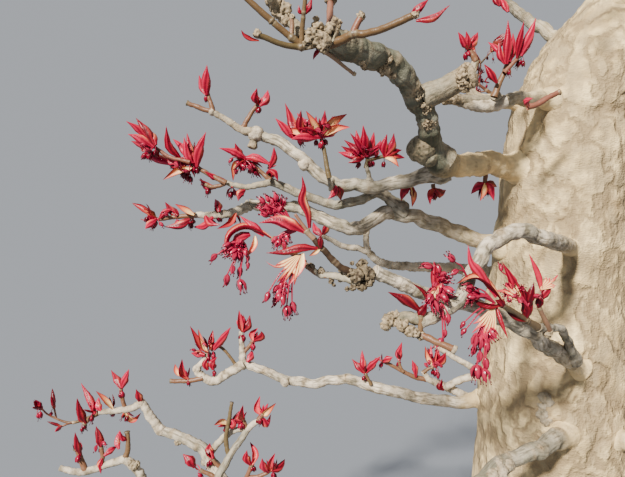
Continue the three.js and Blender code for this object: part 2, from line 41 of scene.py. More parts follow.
# Camera: a phone's wide lens held close to the boughs, a little above their middle and
# dipped a few degrees. Its view cuts off the foot, the top and the right side of the tree.
FOCAL_PIXELS = 560
PICTURE_WIDTH = 625
PICTURE_MIDDLE = (312.5, 238.5)
SENSOR_WIDTH = 36
CAMERA_PLACE = (-171, -383, 370)  # mm
CAMERA_DIP = math.radians(6)
MM = 0.001

bpy.ops.object.camera_add(
    location=[MM * value for value in CAMERA_PLACE],
    rotation=(math.radians(90) - CAMERA_DIP, 0, 0),
)
camera = bpy.context.object
camera.data.sensor_width = SENSOR_WIDTH
camera.data.lens = SENSOR_WIDTH * FOCAL_PIXELS / PICTURE_WIDTH
camera.data.clip_start = 0.01
bpy.context.scene.camera = camera


def seen(column, row, depth):
    """The point, in mm, that the camera sees at this place of the picture and this depth."""
    across = (column - PICTURE_MIDDLE[0]) / FOCAL_PIXELS * depth
    up = (PICTURE_MIDDLE[1] - row) / FOCAL_PIXELS * depth
    ahead = (0, math.cos(CAMERA_DIP), -math.sin(CAMERA_DIP))
    above = (0, math.sin(CAMERA_DIP), math.cos(CAMERA_DIP))
    return np.array(CAMERA_PLACE) + (across, 0, 0) + depth * np.array(ahead) + up * np.array(above)


def shown(point):
    """Where a point shows in the picture: its column, row and depth."""
    apart = point - CAMERA_PLACE
    depth = apart[1] * math.cos(CAMERA_DIP) - apart[2] * math.sin(CAMERA_DIP)
    up = apart[1] * math.sin(CAMERA_DIP) + apart[2] * math.cos(CAMERA_DIP)
    scale = FOCAL_PIXELS / depth
    return PICTURE_MIDDLE[0] + apart[0] * scale, PICTURE_MIDDLE[1] - up * scale, depth


# Studio: a plain pale floor, a soft key light from the upper left in front like a hazy sun,
# and an even pale surround.
FLOOR_REACH = 400  # m, so that the floor's far edge lies level with the camera
KEY = {"strength": 11.2, "softness": math.radians(5), "from": (-0.9, -1.5, 1.25)}
SUNLIGHT = (1.0, 0.93, 0.82)
SURROUND = (0.66, 0.69, 0.74, 1)
SURROUND_STRENGTH = 0.66
FLOOR_COLOUR = (0.174, 0.192, 0.224, 1)

bpy.ops.mesh.primitive_plane_add(size=FLOOR_REACH)
floor = bpy.context.object
floor.name = "floor"
floor_paint = bpy.data.materials.new("floor paint")
floor_paint.use_nodes = True
floor_shader = floor_paint.node_tree.nodes["Principled BSDF"]
floor_shader.inputs["Base Color"].default_value = FLOOR_COLOUR
floor_shader.inputs["Roughness"].default_value = 1
floor_shader.inputs["Specular IOR Level"].default_value = 0
floor.data.materials.append(floor_paint)

bpy.ops.object.light_add(type="SUN", location=KEY["from"])
key = bpy.context.object
key.name = "key"
key.data.energy = KEY["strength"]
key.data.angle = KEY["softness"]
key.data.color = SUNLIGHT
key.rotation_euler = (-Vector(KEY["from"])).to_track_quat("-Z", "Y").to_euler()

surround = bpy.data.worlds.new("surround")
surround.use_nodes = True
surround.node_tree.nodes["Background"].inputs["Color"].default_value = SURROUND
surround.node_tree.nodes["Background"].inputs["Strength"].default_value = SURROUND_STRENGTH
bpy.context.scene.world = surround


# Courses of the limbs: the trunk's own line and radii, then each bough's. A stub is a side
# shoot cut off long ago. A spray is the foliage at a bough's tip, with the middle and reach
# of its space and the shoots whose course is known. What grows from a bare one is laid out
# one by one further down.
GAP = 0.35  # air between a limb and the limb that carries it, in the solids
RINGS = 2  # rings to each stretch between two bends, in the solids
TAPER = 0.8  # below 1, a bough thins fastest near its root
FLARE = 46  # how far the roots spread past the trunk at the ground
FLARE_HEIGHT = 36  # height over which the flare dies away
ROOTS = 5
ROOT_LOBES = (0.5, 1)  # the flare between two roots and along one, as shares of it
ROOT_DRIFT = 0.8  # how unevenly the roots stand around the trunk, radians
TRUNK = np.array([
    (0, 0, 0, 60),
    (0, 0, 60, 57),
    (0, 0, 150, 54),
    (-1, 0, 240, 49),
    (0, 0, 320, 45),
    (2, 0, 385, 41),
    (9, 0, 430, 37),
    (31, 0, 464, 32),
    (56, 2, 499, 27),
    (73, 4, 545, 22),
    (72, 3, 595, 17),
    (59, 0, 640, 12),
    (46, -4, 682, 7),
], dtype=float)
SHOWN_BOUGHS = {
    "front_upper": {
        "on": "trunk", "radius": (8.4, 5.8),
        "bends": [
            (-12, -2, 374), (-59, -28, 379), (-97, -60, 379), (-113, -88, 404), (-131, -106, 423),
            (-166, -140, 429),
        ],
        "stubs": [
            {"from": (-97, -60, 380), "to": (-108, -66, 389), "radius": 8.4},
            {"from": (-115, -90, 411), "to": (-91, -93, 423), "radius": 6},
        ],
        "spray": {"centre": (-172, -144, 470), "reach": 76, "seed": 101, "shoots": [
            [(-174, -145, 425), (-184, -148, 425), (-191, -150, 428)],
            [(-175, -145, 427), (-183, -143, 435), (-189, -141, 446)],
            [(-171, -146, 427), (-173, -149, 436), (-174, -150, 447)],
            [(-165, -147, 428), (-156, -150, 428), (-146, -153, 430), (-132, -157, 433)],
        ]},
    },
    "left_upper": {
        "on": "front_upper", "radius": (5, 3.2),
        "bends": [
            (-92, -55, 377), (-130, -51, 367), (-160, -50, 370), (-187, -48, 390), (-206, -45, 398),
        ],
        "stubs": [{"from": (-204, -45, 398), "to": (-207, -47, 389), "radius": 2.6}],
        "spray": {"centre": (-226, -38, 420), "reach": 58, "bare": True},
    },
    "left_mid": {
        "on": "trunk", "radius": (6.5, 3.4),
        "bends": [
            (-20, 0, 320), (-61, -13, 330), (-114, -28, 349), (-150, -37, 341), (-180, -38, 352),
            (-210, -38, 355),
        ],
        "spray": {"centre": (-250, -26, 345), "reach": 60, "bare": True},
    },
    "left_inner": {
        "on": "left_mid", "radius": (4, 2.6),
        "bends": [(-113, -28, 350), (-130, -34, 361), (-157, -43, 355), (-196, -51, 369)],
        "spray": {"centre": (-234, -86, 384), "reach": 58, "bare": True},
    },
    "left_low": {
        "on": "trunk", "radius": (5.4, 3.4),
        "bends": [
            (-14, 4, 219), (-66, 14, 207), (-108, 18, 213), (-147, 21, 222), (-180, 22, 219),
            (-223, 25, 233),
        ],
        "spray": {"centre": (-250, 27, 244), "reach": 60, "bare": True},
    },
    "low_left": {
        "on": "trunk", "radius": (7.8, 3.4),
        "bends": [
            (-10, -8, 135), (-100, -42, 142), (-160, -52, 163), (-220, -47, 174), (-244, -34, 197),
            (-271, -28, 205),
        ],
        "spray": {"centre": (-309, -25, 228), "reach": 56, "seed": 601, "shoots": [
            [(-284, -25, 219), (-294, -23, 218), (-312, -21, 216), (-320, -20, 211)],
            [(-294, -23, 218), (-300, -24, 236)],
        ]},
    },
    "low_inner": {
        "on": "low_left", "radius": (3.4, 2.2),
        "bends": [(-222, -46, 175), (-229, -54, 187), (-212, -42, 213)],
        "spray": {"centre": (-204, -38, 242), "reach": 50, "bare": True},
    },
    "front_lower": {
        "on": "trunk", "radius": (5.4, 2.8),
        "bends": [
            (6, -30, 246), (-48, -100, 284), (-86, -128, 308), (-123, -144, 321), (-145, -153, 332),
        ],
        "spray": {"centre": (-172, -154, 342), "reach": 42, "bare": True},
    },
    "front_side": {
        "on": "front_lower", "radius": (2.5, 2),
        "bends": [(-22, -75, 268), (-45, -108, 294), (-68, -133, 303)],
        "spray": {"centre": (-88, -147, 323), "reach": 46, "bare": True},
    },
    "front_arch": {
        "on": "trunk", "radius": (5, 3),
        "bends": [
            (-2, -24, 326), (-50, -100, 339), (-76, -120, 345), (-97, -136, 335), (-109, -151, 320),
            (-127, -156, 311),
        ],
        "spray": {"centre": (-130, -157, 309), "reach": 27, "bare": True},
    },
    "upper_left": {
        "on": "trunk", "radius": (6.5, 3),
        "bends": [(0, -6, 416), (-34, -34, 420), (-62, -58, 414), (-71, -70, 416)],
        "stubs": [{"from": (-66, -62, 414), "to": (-99, -70, 414), "radius": 2.8}],
        "spray": {"centre": (-72, -100, 446), "reach": 54, "bare": True},
    },
    "upper_inner": {
        "on": "trunk", "radius": (5, 2.6),
        "bends": [(-6, 2, 413), (-44, -4, 421), (-69, -13, 427), (-67, -16, 446)],
        "spray": {"centre": (-66, -12, 476), "reach": 54, "bare": True},
    },
    "low_right": {
        "on": "trunk", "radius": (8, 3.4),
        "bends": [(14, -16, 208), (-26, -60, 213), (-66, -85, 210), (-103, -101, 195)],
        "spray": {"centre": (-138, -118, 182), "reach": 62, "seed": 1301},
    },
    "top_back": {
        "on": "trunk", "radius": (8, 3.6),
        "bends": [(30, 4, 456), (28, 38, 462), (2, 83, 498), (-30, 108, 541)],
        "spray": {"centre": (-50, 120, 580), "reach": 84, "seed": 1409},
    },
    "mid_fore": {
        "on": "left_upper", "radius": (2.4, 1.7),
        "bends": [(-160, -50, 370), (-161, -80, 365), (-163, -107, 371)],
        "spray": {"centre": (-178, -118, 392), "reach": 44, "bare": True},
    },
    "mid_back": {
        "on": "left_upper", "radius": (2.4, 1.8),
        "bends": [(-137, -51, 367), (-137, -43, 372), (-138, -35, 378)],
        "spray": {"centre": (-142, -22, 398), "reach": 42, "bare": True},
    },
}

# The other boughs, worked out from height on the trunk, azimuth, reach, rise, the radius at
# root and tip, a seed, and the reach of the spray that each ends in
SWAY = 0.09  # sideways bends, as a share of the reach
SAG = 0.06  # bends up and down
BENDS = 3
HIDDEN_BOUGHS = {
    "right_low": (178, -14, 150, 26, (10, 4.4), 17, 98),
    "right_mid": (292, 18, 128, 34, (8, 4), 29, 90),
    "right_front": (366, -34, 112, 30, (7, 3.6), 31, 79),
    "front_low": (196, -66, 108, 26, (8, 3.8), 43, 73),
    "back_low": (226, 84, 124, 26, (8, 4), 59, 80),
    "back_right": (318, 52, 116, 32, (7.5, 3.8), 61, 84),
    "back_left": (404, 94, 112, 34, (7, 3.6), 71, 76),
    "top_left": (500, 186, 118, 46, (6.5, 3.4), 83, 80),
    "top_front": (468, -98, 84, 34, (6.5, 3.2), 97, 72),
    "top_right": (512, -8, 84, 30, (6.5, 3.2), 103, 84),
    "crown_back": (556, 76, 62, 32, (5, 2.8), 113, 74),
    "crown_left": (590, 200, 56, 28, (4.6, 2.6), 127, 70),
    "crown_right": (622, -30, 42, 26, (4.2, 2.4), 139, 62),
}
CROWN_OUT = 0.64  # the middle of such a spray's space lies this far past the tip
CROWN_UP = 0.2  # and this far above it, as shares of the spray's reach
APEX_SPRAY = {"centre": (34, -6, 728), "reach": 64, "seed": 137}
UP = np.array((0.0, 0.0, 1.0))


def mix(a, b, share):
    return a + (b - a) * share


def unit(way):
    return way / np.linalg.norm(way)


def smooth_line(bends, rings):
    """A smooth line through the bends, with the same number of rings to each stretch."""
    bends = np.array(bends, dtype=float)
    ends = np.vstack([2 * bends[0] - bends[1], bends, 2 * bends[-1] - bends[-2]])
    line = []
    for k in range(len(bends) - 1):
        p0, p1, p2, p3 = ends[k : k + 4]
        for t in np.arange(rings) / rings:
            m1, m2 = (p2 - p0) / 2, (p3 - p1) / 2
            bend = (2 * p1 - 2 * p2 + m1 + m2) * t**3 + (3 * p2 - 3 * p1 - 2 * m1 - m2) * t**2
            line.append(bend + m1 * t + p1)
    return np.array([*line, bends[-1]])


def trunk_radii(rings):
    share = np.arange(rings * (len(TRUNK) - 1) + 1) / rings
    return np.interp(share, np.arange(len(TRUNK)), TRUNK[:, 3])


DICE_SIZE = 2147483647
DICE_FACTOR = 16807
SEED_STRIDE = 7919  # keeps apart what neighbouring seeds give


def dice(seed):
    """Seeded numbers from 0 to 1."""
    state = (seed * SEED_STRIDE) % DICE_SIZE

    def roll():
        nonlocal state
        state = (state * DICE_FACTOR) % DICE_SIZE
        return state / DICE_SIZE

    return roll


def trunk_axis_at(height):
    return np.array([np.interp(height, TRUNK[:, 2], TRUNK[:, axis]) for axis in range(3)])


def hidden_bends(height, azimuth, reach, rise, seed):
    roll = dice(seed)
    turn = math.radians(azimuth)
    out = np.array((math.cos(turn), math.sin(turn), 0))
    beside = np.array((-out[1], out[0], 0))
    bends = [trunk_axis_at(height)]
    for k in range(1, BENDS + 1):
        sway = (2 * roll() - 1) * SWAY * reach
        lift = rise * k / BENDS + (2 * roll() - 1) * SAG * reach
        bends.append(bends[0] + out * (reach * k / BENDS) + beside * sway + UP * lift)
    return bends


def limb(name, bends, ends, on):
    line = smooth_line(bends, RINGS)
    share = np.arange(len(line)) / (len(line) - 1)
    radii = mix(ends[0], ends[1], share**TAPER)
    return {"name": name, "bends": bends, "line": line, "radii": radii, "ends": ends, "on": on}


limbs = {"trunk": {
    "name": "trunk",
    "line": smooth_line(TRUNK[:, :3], RINGS),
    "radii": trunk_radii(RINGS),
}}
sprays = []
for name, bough in SHOWN_BOUGHS.items():
    limbs[name] = limb(name, bough["bends"], bough["radius"], bough["on"])
    sprays.append({"limb": name, **bough["spray"]})
for name, (height, azimuth, reach, rise, ends, seed, crown) in HIDDEN_BOUGHS.items():
    made = limb(name, hidden_bends(height, azimuth, reach, rise, seed), ends, "trunk")
    limbs[name] = made
    tip = made["line"][-1]
    out = unit((tip - made["line"][0]) * (1, 1, 0))
    centre = tip + out * (crown * CROWN_OUT) + UP * (crown * CROWN_UP)
    sprays.append({"limb": name, "centre": centre, "reach": crown, "seed": seed + 1})
sprays.append({"limb": "trunk", **APEX_SPRAY})


# Trunk: one living stem, from a root flare with five low buttresses up through a sharp bend
# to a thin leader. Its smooth cream bark swells towards each bough, and is folded and
# creased across the grain, with painted shade darkening the creases. It stands on its flat
# cut at the ground.
TRUNK_SIDES = 128
TRUNK_FINE = 22  # rings to each stretch of the trunk's bark
LUMPS = (3.0, 40)  # height and breadth of the bark's relief, in mm: swellings,
CREASES = (1.9, 24)  # creases,
WRINKLES = (1.3, 11)  # wavy wrinkles that mostly run up it,
GRAIN = (0.25, 3.5)  # and grain
# Each kind of crease: how flat it lies round the trunk, how narrow it is, its least depth
# as a share, and the breadth in mm of the patches where it is deeper
FOLDS = (2.2, 5, 0.55, 36)
SMALL_FOLDS = (1.6, 4, 0.3, 21)
WRINKLE_FOLDS = (0.55, 3.2, 0.5, 31)
SMALL_FOLD_SHARES = (0.4, 0.5)  # breadth and depth of a small fold, as shares of a fold's
CREASE_SWAY = (5, 17)  # how far creases rise and fall, and over what breadth, in mm
WRINKLE_SWAY = (7, 23, 29)  # how far wrinkles bend aside, and the breadths across and along y
FULL_RELIEF = 34  # radius above which the relief has its full height
FOOT_BREADTH = 2.7  # the swelling under each bough's foot, as shares of the bough's radius
FOOT_HEIGHT = 0.42
GROUND_EDGE = 0.01  # mm of height below which the bark keeps to the flat cut's outline


def fine_line(bends, step):
    """The smooth line through the bends, with points at even steps."""
    line = smooth_line(bends, 24)
    lengths = np.r_[0, np.cumsum(np.linalg.norm(np.diff(line, axis=0), axis=1))]
    at = np.linspace(0, lengths[-1], max(4, round(lengths[-1] / step)))
    share = np.interp(at, lengths, np.arange(len(line)) / (len(line) - 1))
    points = np.array([np.interp(at, lengths, line[:, axis]) for axis in range(3)]).T
    return points, at, share


def nearest_to(points, place):
    return int(np.argmin(np.linalg.norm(points - place, axis=1)))


def depth_in(carrier, point):
    """How far a point lies outside the limb that carries it, in mm."""
    k = nearest_to(carrier["line"], point)
    near = []
    for a in (max(k - 1, 0), min(k, len(carrier["line"]) - 2)):
        start, stretch = carrier["line"][a], carrier["line"][a + 1] - carrier["line"][a]
        share = min(1.0, max(0.0, np.dot(point - start, stretch) / np.dot(stretch, stretch)))
        radius = mix(carrier["radii"][a], carrier["radii"][a + 1], share)
        near.append(np.linalg.norm(point - start - stretch * share) - radius)
    return min(near)


def turned(vector, start, end):
    """The vector carried along by the shortest turn from one way to another."""
    hinge = np.cross(start, end)
    along = np.dot(start, end)
    return vector * along + np.cross(hinge, vector) + hinge * np.dot(hinge, vector) / (1 + along)


def rings_along(line, first_way=None, sideways=None):
    """At each point of a line, its way and two ways square to it, without needless twist."""
    ways = np.gradient(line, axis=0)
    ways /= np.linalg.norm(ways, axis=1)[:, None]
    if first_way is not None:
        ways[0] = first_way
    if sideways is None:
        sideways = np.array((1.0, 0, 0)) if abs(ways[0][2]) > 0.8 else UP
    across = [unit(sideways - ways[0] * np.dot(sideways, ways[0]))]
    for before, way in zip(ways, ways[1:]):
        across.append(turned(across[-1], before, way))
    across = np.array(across)
    return ways, across, np.cross(ways, across)


def rolled_up(name, line, radius_at, relief, sides, first_way=None, slid=None):
    """A grid rolled up round a line. radius_at(row, angle) is its radius. relief(point, row)
    gives how far the bark stands proud there, and how corky, cream and bleached it is; on the
    trunk the corky value is how deep a crease is, for painted shade there. slid moves each
    ring along the line."""
    bpy.ops.object.select_all(action="DESELECT")
    rows = len(line) - 1
    bpy.ops.mesh.primitive_grid_add(x_subdivisions=sides, y_subdivisions=rows, size=2)
    piece = bpy.context.object
    piece.name = name
    piece.data.name = name
    grid = np.empty(len(piece.data.vertices) * 3)
    piece.data.vertices.foreach_get("co", grid)
    grid = grid.reshape(-1, 3)
    columns = np.rint((grid[:, 0] + 1) / 2 * sides).astype(int) % sides
    places = np.rint((grid[:, 1] + 1) / 2 * rows).astype(int)
    ways, across, beside = rings_along(line, first_way)
    angles = 2 * math.pi * columns / sides
    out = across[places] * np.cos(angles)[:, None] + beside[places] * np.sin(angles)[:, None]
    radii = np.array([radius_at(row, angle) for row, angle in zip(places, angles)])
    bare = line[places] + out * radii[:, None]
    proud, *marks = np.array([relief(point, row) for point, row in zip(bare, places)]).T
    points = bare + out * proud[:, None]
    if slid is not None:
        points += ways[places] * np.array(slid)[places][:, None]
    piece.data.vertices.foreach_set("co", (points * MM).ravel())
    along = np.r_[0, np.cumsum(np.linalg.norm(np.diff(line, axis=0), axis=1))][places]
    grain = np.array((np.cos(angles) * radii, np.sin(angles) * radii, along)).T * MM
    piece.data.attributes.new("grain", "FLOAT_VECTOR", "POINT").data.foreach_set("vector", grain.ravel())
    for mark, values in zip(("cork", "cream", "bleach"), marks):
        piece.data.attributes.new(mark, "FLOAT", "POINT").data.foreach_set("value", values)
    bpy.ops.object.mode_set(mode="EDIT")
    bpy.ops.mesh.select_all(action="SELECT")
    bpy.ops.mesh.remove_doubles(threshold=1e-6)
    bpy.ops.mesh.select_all(action="DESELECT")
    bpy.ops.mesh.select_non_manifold()
    bpy.ops.mesh.fill_holes(sides=0)
    bpy.ops.mesh.select_all(action="SELECT")
    bpy.ops.mesh.normals_make_consistent(inside=False)
    bpy.ops.object.mode_set(mode="OBJECT")
    bpy.ops.object.shade_smooth_by_angle(angle=math.radians(50))
    return piece


def rough(point, breadth, stretch=1.0):
    """Soft noise from -1 to 1 with features of this breadth in mm."""
    return noise.noise((point[0] / breadth, point[1] / breadth, point[2] * stretch / breadth))


def crease(point, breadth, stretch, narrow):
    """1 in the bottom of a crease, 0 away from it."""
    return max(0.0, 1 - narrow * abs(rough(point, breadth, stretch)))


def root_flare(height, angle):
    lobe = 0.5 + 0.5 * math.cos(ROOTS * angle + ROOT_DRIFT * math.sin(2 * angle))
    return FLARE * math.exp(-height / FLARE_HEIGHT) * mix(*ROOT_LOBES, lobe)


trunk_line = smooth_line(TRUNK[:, :3], TRUNK_FINE)
trunk_radius = trunk_radii(TRUNK_FINE)
bough_feet = []
for made in limbs.values():
    if made.get("on") == "trunk":
        line, _, share = fine_line(made["bends"], 2)
        outside = np.array([depth_in(limbs["trunk"], point) for point in line])
        row = int(np.argmax(outside > 0))
        bough_feet.append((line[row], made["radii"][0]))
foot_middles = np.array([middle for middle, _ in bough_feet])
foot_sizes = np.array([radius for _, radius in bough_feet])


def patchy(point, swayed, breadth, kind, uneven=1):
    """Creases of one kind, deeper in some patches than in others."""
    flatness, narrow, least, patch = kind
    return crease(swayed, breadth, flatness, narrow) * (least + uneven * rough(point, patch))


def trunk_relief(point, row):
    size = min(1.0, trunk_radius[row] / FULL_RELIEF)
    swayed = point + CREASE_SWAY[0] * np.array((0, 0, rough(point, CREASE_SWAY[1])))
    breadth, depth = SMALL_FOLD_SHARES
    fold = patchy(point, swayed, CREASES[1] * size, FOLDS)
    small = depth * patchy(point, swayed, CREASES[1] * size * breadth, SMALL_FOLDS)
    fold = max(0.0, fold, small)
    proud = LUMPS[0] * rough(point, LUMPS[1]) * size - CREASES[0] * fold * size
    aside = rough(point, WRINKLE_SWAY[1]), rough(point, WRINKLE_SWAY[2]), 0
    bent = point + WRINKLE_SWAY[0] * np.array(aside)
    wrinkle = patchy(point, bent, WRINKLES[1] * size, WRINKLE_FOLDS, 0.6)
    proud += GRAIN[0] * rough(point, GRAIN[1]) - WRINKLES[0] * max(0.0, wrinkle) * size
    far = np.linalg.norm(foot_middles - point, axis=1) / (FOOT_BREADTH * foot_sizes)
    proud += FOOT_HEIGHT * float(np.max(foot_sizes * np.exp(-far * far)))
    on_ground = point[2] < GROUND_EDGE
    # The second value, carried in the cork mark, is how deep the point lies in a fold or wrinkle: the paint
    # darkens the bark there as painted shade.
    return (0.0 if on_ground else proud), min(1.0, max(fold * 1.1, 0.6 * wrinkle)), 1.0, 0.0


trunk = rolled_up(
    "trunk_bark",
    trunk_line,
    lambda row, angle: trunk_radius[row] + root_flare(trunk_line[row][2], angle),
    trunk_relief,
    TRUNK_SIDES,
    first_way=UP,
)


def paint(name, roughness, gloss):
    """A new material on its plain shader."""
    material = bpy.data.materials.new(name)
    material.use_nodes = True
    shader = material.node_tree.nodes["Principled BSDF"]
    shader.inputs["Roughness"].default_value = roughness
    shader.inputs["Specular IOR Level"].default_value = gloss
    return material


def cloudy(material, places, breadth, detail, stretch):
    """A cloudy pattern over places that are stretched first, with features this broad in mm."""
    tree = material.node_tree
    mapping = tree.nodes.new("ShaderNodeMapping")
    mapping.inputs["Scale"].default_value = stretch
    tree.links.new(places, mapping.inputs["Vector"])
    pattern = tree.nodes.new("ShaderNodeTexNoise")
    pattern.inputs["Scale"].default_value = 1 / (breadth * MM)
    pattern.inputs["Detail"].default_value = detail
    tree.links.new(mapping.outputs["Vector"], pattern.inputs["Vector"])
    return pattern.outputs["Fac"]


def clouds(material, breadth, detail, stretch=(1, 1, 1)):
    """Clouds on the object's own coordinates."""
    places = material.node_tree.nodes.new("ShaderNodeTexCoord").outputs["Object"]
    return cloudy(material, places, breadth, detail, stretch)


def streaks(material, breadth, detail, length):
    """Streaks that run along a limb, from the places on its rolled up bark."""
    rolled = material.node_tree.nodes.new("ShaderNodeAttribute")
    rolled.attribute_name = "grain"
    return cloudy(material, rolled.outputs["Vector"], breadth, detail, (1, 1, length))


def marked(material, name):
    """A value that the mesh carries at its points."""
    carried = material.node_tree.nodes.new("ShaderNodeAttribute")
    carried.attribute_name = name
    return carried.outputs["Fac"]


def ramp(material, value, stops):
    """Colours from (position, colour) stops."""
    made = material.node_tree.nodes.new("ShaderNodeValToRGB")
    band = made.color_ramp
    while len(band.elements) < len(stops):
        band.elements.new(0.5)
    for element, (position, colour) in zip(band.elements, stops):
        element.position = position
        element.color = (*colour, 1)
    material.node_tree.links.new(value, made.inputs["Fac"])
    return made.outputs["Color"]


def greys(*stops):
    """Stops of plain grey from (position, value) pairs."""
    return [(position, (value, value, value)) for position, value in stops]


def feed(material, socket, value):
    """Gives a socket a colour, a number or a link."""
    if isinstance(value, tuple):
        socket.default_value = (*value, 1)
    elif isinstance(value, (int, float)):
        socket.default_value = value
    else:
        material.node_tree.links.new(value, socket)


def blend(material, share, first, second):
    """The first colour where share is 0, the second where it is 1."""
    made = material.node_tree.nodes.new("ShaderNodeMix")
    made.data_type = "RGBA"
    material.node_tree.links.new(share, made.inputs["Factor"])
    feed(material, made.inputs[6], first)
    feed(material, made.inputs[7], second)
    return made.outputs[2]


def sums(material, operation, first, second):
    """A sum, product or difference of two values, kept from 0 to 1."""
    made = material.node_tree.nodes.new("ShaderNodeMath")
    made.operation = operation
    made.use_clamp = True
    feed(material, made.inputs[0], first)
    feed(material, made.inputs[1], second)
    return made.outputs["Value"]


def finish_paint(material, colour, height, depth):
    """Gives the shader its colour and its fine relief, which is this deep in mm."""
    tree = material.node_tree
    shader = tree.nodes["Principled BSDF"]
    tree.links.new(colour, shader.inputs["Base Color"])
    bump = tree.nodes.new("ShaderNodeBump")
    bump.inputs["Distance"].default_value = depth * MM
    tree.links.new(height, bump.inputs["Height"])
    tree.links.new(bump.outputs["Normal"], shader.inputs["Normal"])


CREAM = [
    (0.32, (0.42, 0.305, 0.155)),
    (0.47, (0.72, 0.545, 0.28)),
    (0.64, (0.95, 0.745, 0.40)),
]


def cream_bark(material):
    """Cream bark with soft darker clouds, drawn out round the limb."""
    soft = ramp(material, clouds(material, 26, 4, (1, 1, 1.7)), CREAM)
    small = ramp(material, clouds(material, 6, 5, (1, 1, 1.8)), greys((0.40, 0), (0.66, 0.5)))
    return blend(material, small, soft, (0.40, 0.31, 0.185))


trunk_paint = paint("trunk bark", 0.85, 0.3)
# Painted shade: the cream bark turns dark brown where the cork mark says it lies deep in a crease.
crease_shaded = blend(trunk_paint, marked(trunk_paint, "cork"), cream_bark(trunk_paint), (0.19, 0.135, 0.075))
waves = clouds(trunk_paint, 9, 3, (1, 1, 0.45))
in_waves = ramp(trunk_paint, waves, greys((0.40, 0.75), (0.55, 0)))
waved = blend(trunk_paint, in_waves, crease_shaded, (0.36, 0.28, 0.165))
FOLD_LINES = greys((0.425, 0), (0.485, 0.8), (0.515, 0.8), (0.575, 0))
folds = ramp(trunk_paint, clouds(trunk_paint, 17, 4, (1, 1, 0.7)), FOLD_LINES)
creased = blend(trunk_paint, folds, waved, (0.26, 0.19, 0.105))
trunk_grain = sums(trunk_paint, "MULTIPLY", clouds(trunk_paint, 1.6, 6, (1, 1, 1.8)), 0.3)
swollen = sums(trunk_paint, "ADD", trunk_grain, waves)
fold_depth = sums(trunk_paint, "MULTIPLY", folds, 0.4)
TRUNK_PAINT_RELIEF = 2.8  # mm
finish_paint(trunk_paint, creased, sums(trunk_paint, "SUBTRACT", swollen, fold_depth), TRUNK_PAINT_RELIEF)
trunk.data.materials.append(trunk_paint)
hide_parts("trunk")
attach(trunk, "root")


# Boughs: pale grey-green limbs that bend at every old pruning cut, with thin rings where
# each year's growth began, corky knots where side shoots were taken off, and a foot that
# widens into the limb that carries them.
BARK = (1.1, 26)  # mm between the rings of a bough's bark, and sides of each
NEAR_BOUGHS = ("front_upper", "front_lower", "front_arch")
NEAR_BARK = (0.75, 44)
WANDER = (0.32, 13)  # how far a bough strays from its course: share of radius, and mm
SHIFTS = (0, 31.7, 67.3)  # the same noise read at three places strays along x, y and z
GNARL = (0.16, 2.2)  # swellings: height and breadth, as shares of the radius
BARK_GRAIN = (0.2, 1.6)  # mm
CRUST = (0.55, 1.5)  # relief of the corky places, mm
YEAR_RING = (0.07, 1.2)  # height as a share of the radius, and half length in mm
YEAR_GROWTH = 13  # mm from one ring to the next
KNOT_APART = 30  # mm of bough to each knot
KNOT_HEIGHT = 0.42  # shares of a knot's size: its height,
KNOT_HOLLOW = (0.36, 0.32)  # and the depth and breadth of the hollow in its middle
RING_CORK = 0.55  # how corky a ring is, where a knot is 1
SLENDER = 0.9  # share of the solids' radius between the knots
WAISTS = {  # shares of that radius along a bough
    "front_upper": ((0, 1.05), (0.42, 1.0), (0.5, 0.95), (0.62, 0.8), (0.7, 0.85), (0.8, 1.08), (1, 1.05)),
    "mid_fore": ((0, 0.62), (0.5, 0.55), (1, 0.6)),
    "mid_back": ((0, 0.8), (1, 0.75)),
}
# How far weather has bleached the bark, from 0, still green
BLEACHED = {
    "front_upper": 0.0, "front_lower": 1.0, "front_arch": 1.0, "left_low": 1.4, "low_left": 0.95,
    "left_inner": 0.6, "upper_left": 0.6, "low_right": 0.5, "left_mid": 0.95, "left_upper": 0.85,
}
BLEACHED_ELSE = 0.65
ROUGHER = {"front_upper": 2.2}
FOOT_FLARE = (0.75, 0.6)  # widening at the foot, and over how many radii it dies away
CREAM_REACH = 26  # mm over which the trunk's cream bark fades along a bough
# On these it stops instead after so many mm, over so many
CREAM_REACHES = {"front_upper": (80, 16), "left_low": (16, 12), "low_right": (14, 10)}


def wandering(line, share, radii):
    """The line with small kinks, which die away at both ends."""
    held = np.sin(math.pi * np.clip(share, 0, 1)) ** 0.5
    stray = np.array([[rough(point + shift, WANDER[1]) for shift in SHIFTS] for point in line])
    return line + stray * (held * radii * WANDER[0] * 2)[:, None]


def slender_radii(bough, share):
    """A bough's radius at these shares of its length, between its knots."""
    radii = mix(*bough["ends"], share**TAPER) * SLENDER
    if bough["name"] in WAISTS:
        radii = radii * np.interp(share, *zip(*WAISTS[bough["name"]]))
    return radii


def knots_on(line, at, radii, roll):
    """Where side shoots were taken off: the middle and size of each knot."""
    ways, across, beside = rings_along(line)
    middles, sizes = [], []
    count = max(1, round(at[-1] / KNOT_APART))
    for k in range(count):
        row = nearest_to(at[:, None], np.array([at[-1] * (k + 0.3 + 0.6 * roll()) / count]))
        turn = 2 * math.pi * roll()
        out = across[row] * math.cos(turn) + beside[row] * math.sin(turn)
        sizes.append(radii[row] * (0.4 + 0.4 * roll()))
        middles.append(line[row] + out * radii[row] * 0.85)
    return np.array(middles), np.array(sizes)


def crust(point):
    """Crumbled cork, from about -1 to 1."""
    return 0.6 * rough(point, CRUST[1] * 0.55) + rough(point, CRUST[1]) + 0.5 * rough(point, CRUST[1] * 2.4)


# A stub's radius along it, then at five rings over its end, and how far each of these is
# pushed out or sunk in, all as shares of its radius
STUB_SIDE = ((0, 0.5, 0.85, 1), (1.15, 0.95, 1.02, 1.08))
STUB_END = (0.98, 0.8, 0.55, 0.36, 0.12)
STUB_HOLLOW = (0.12, 0.16, 0.06, -0.35, -0.5)


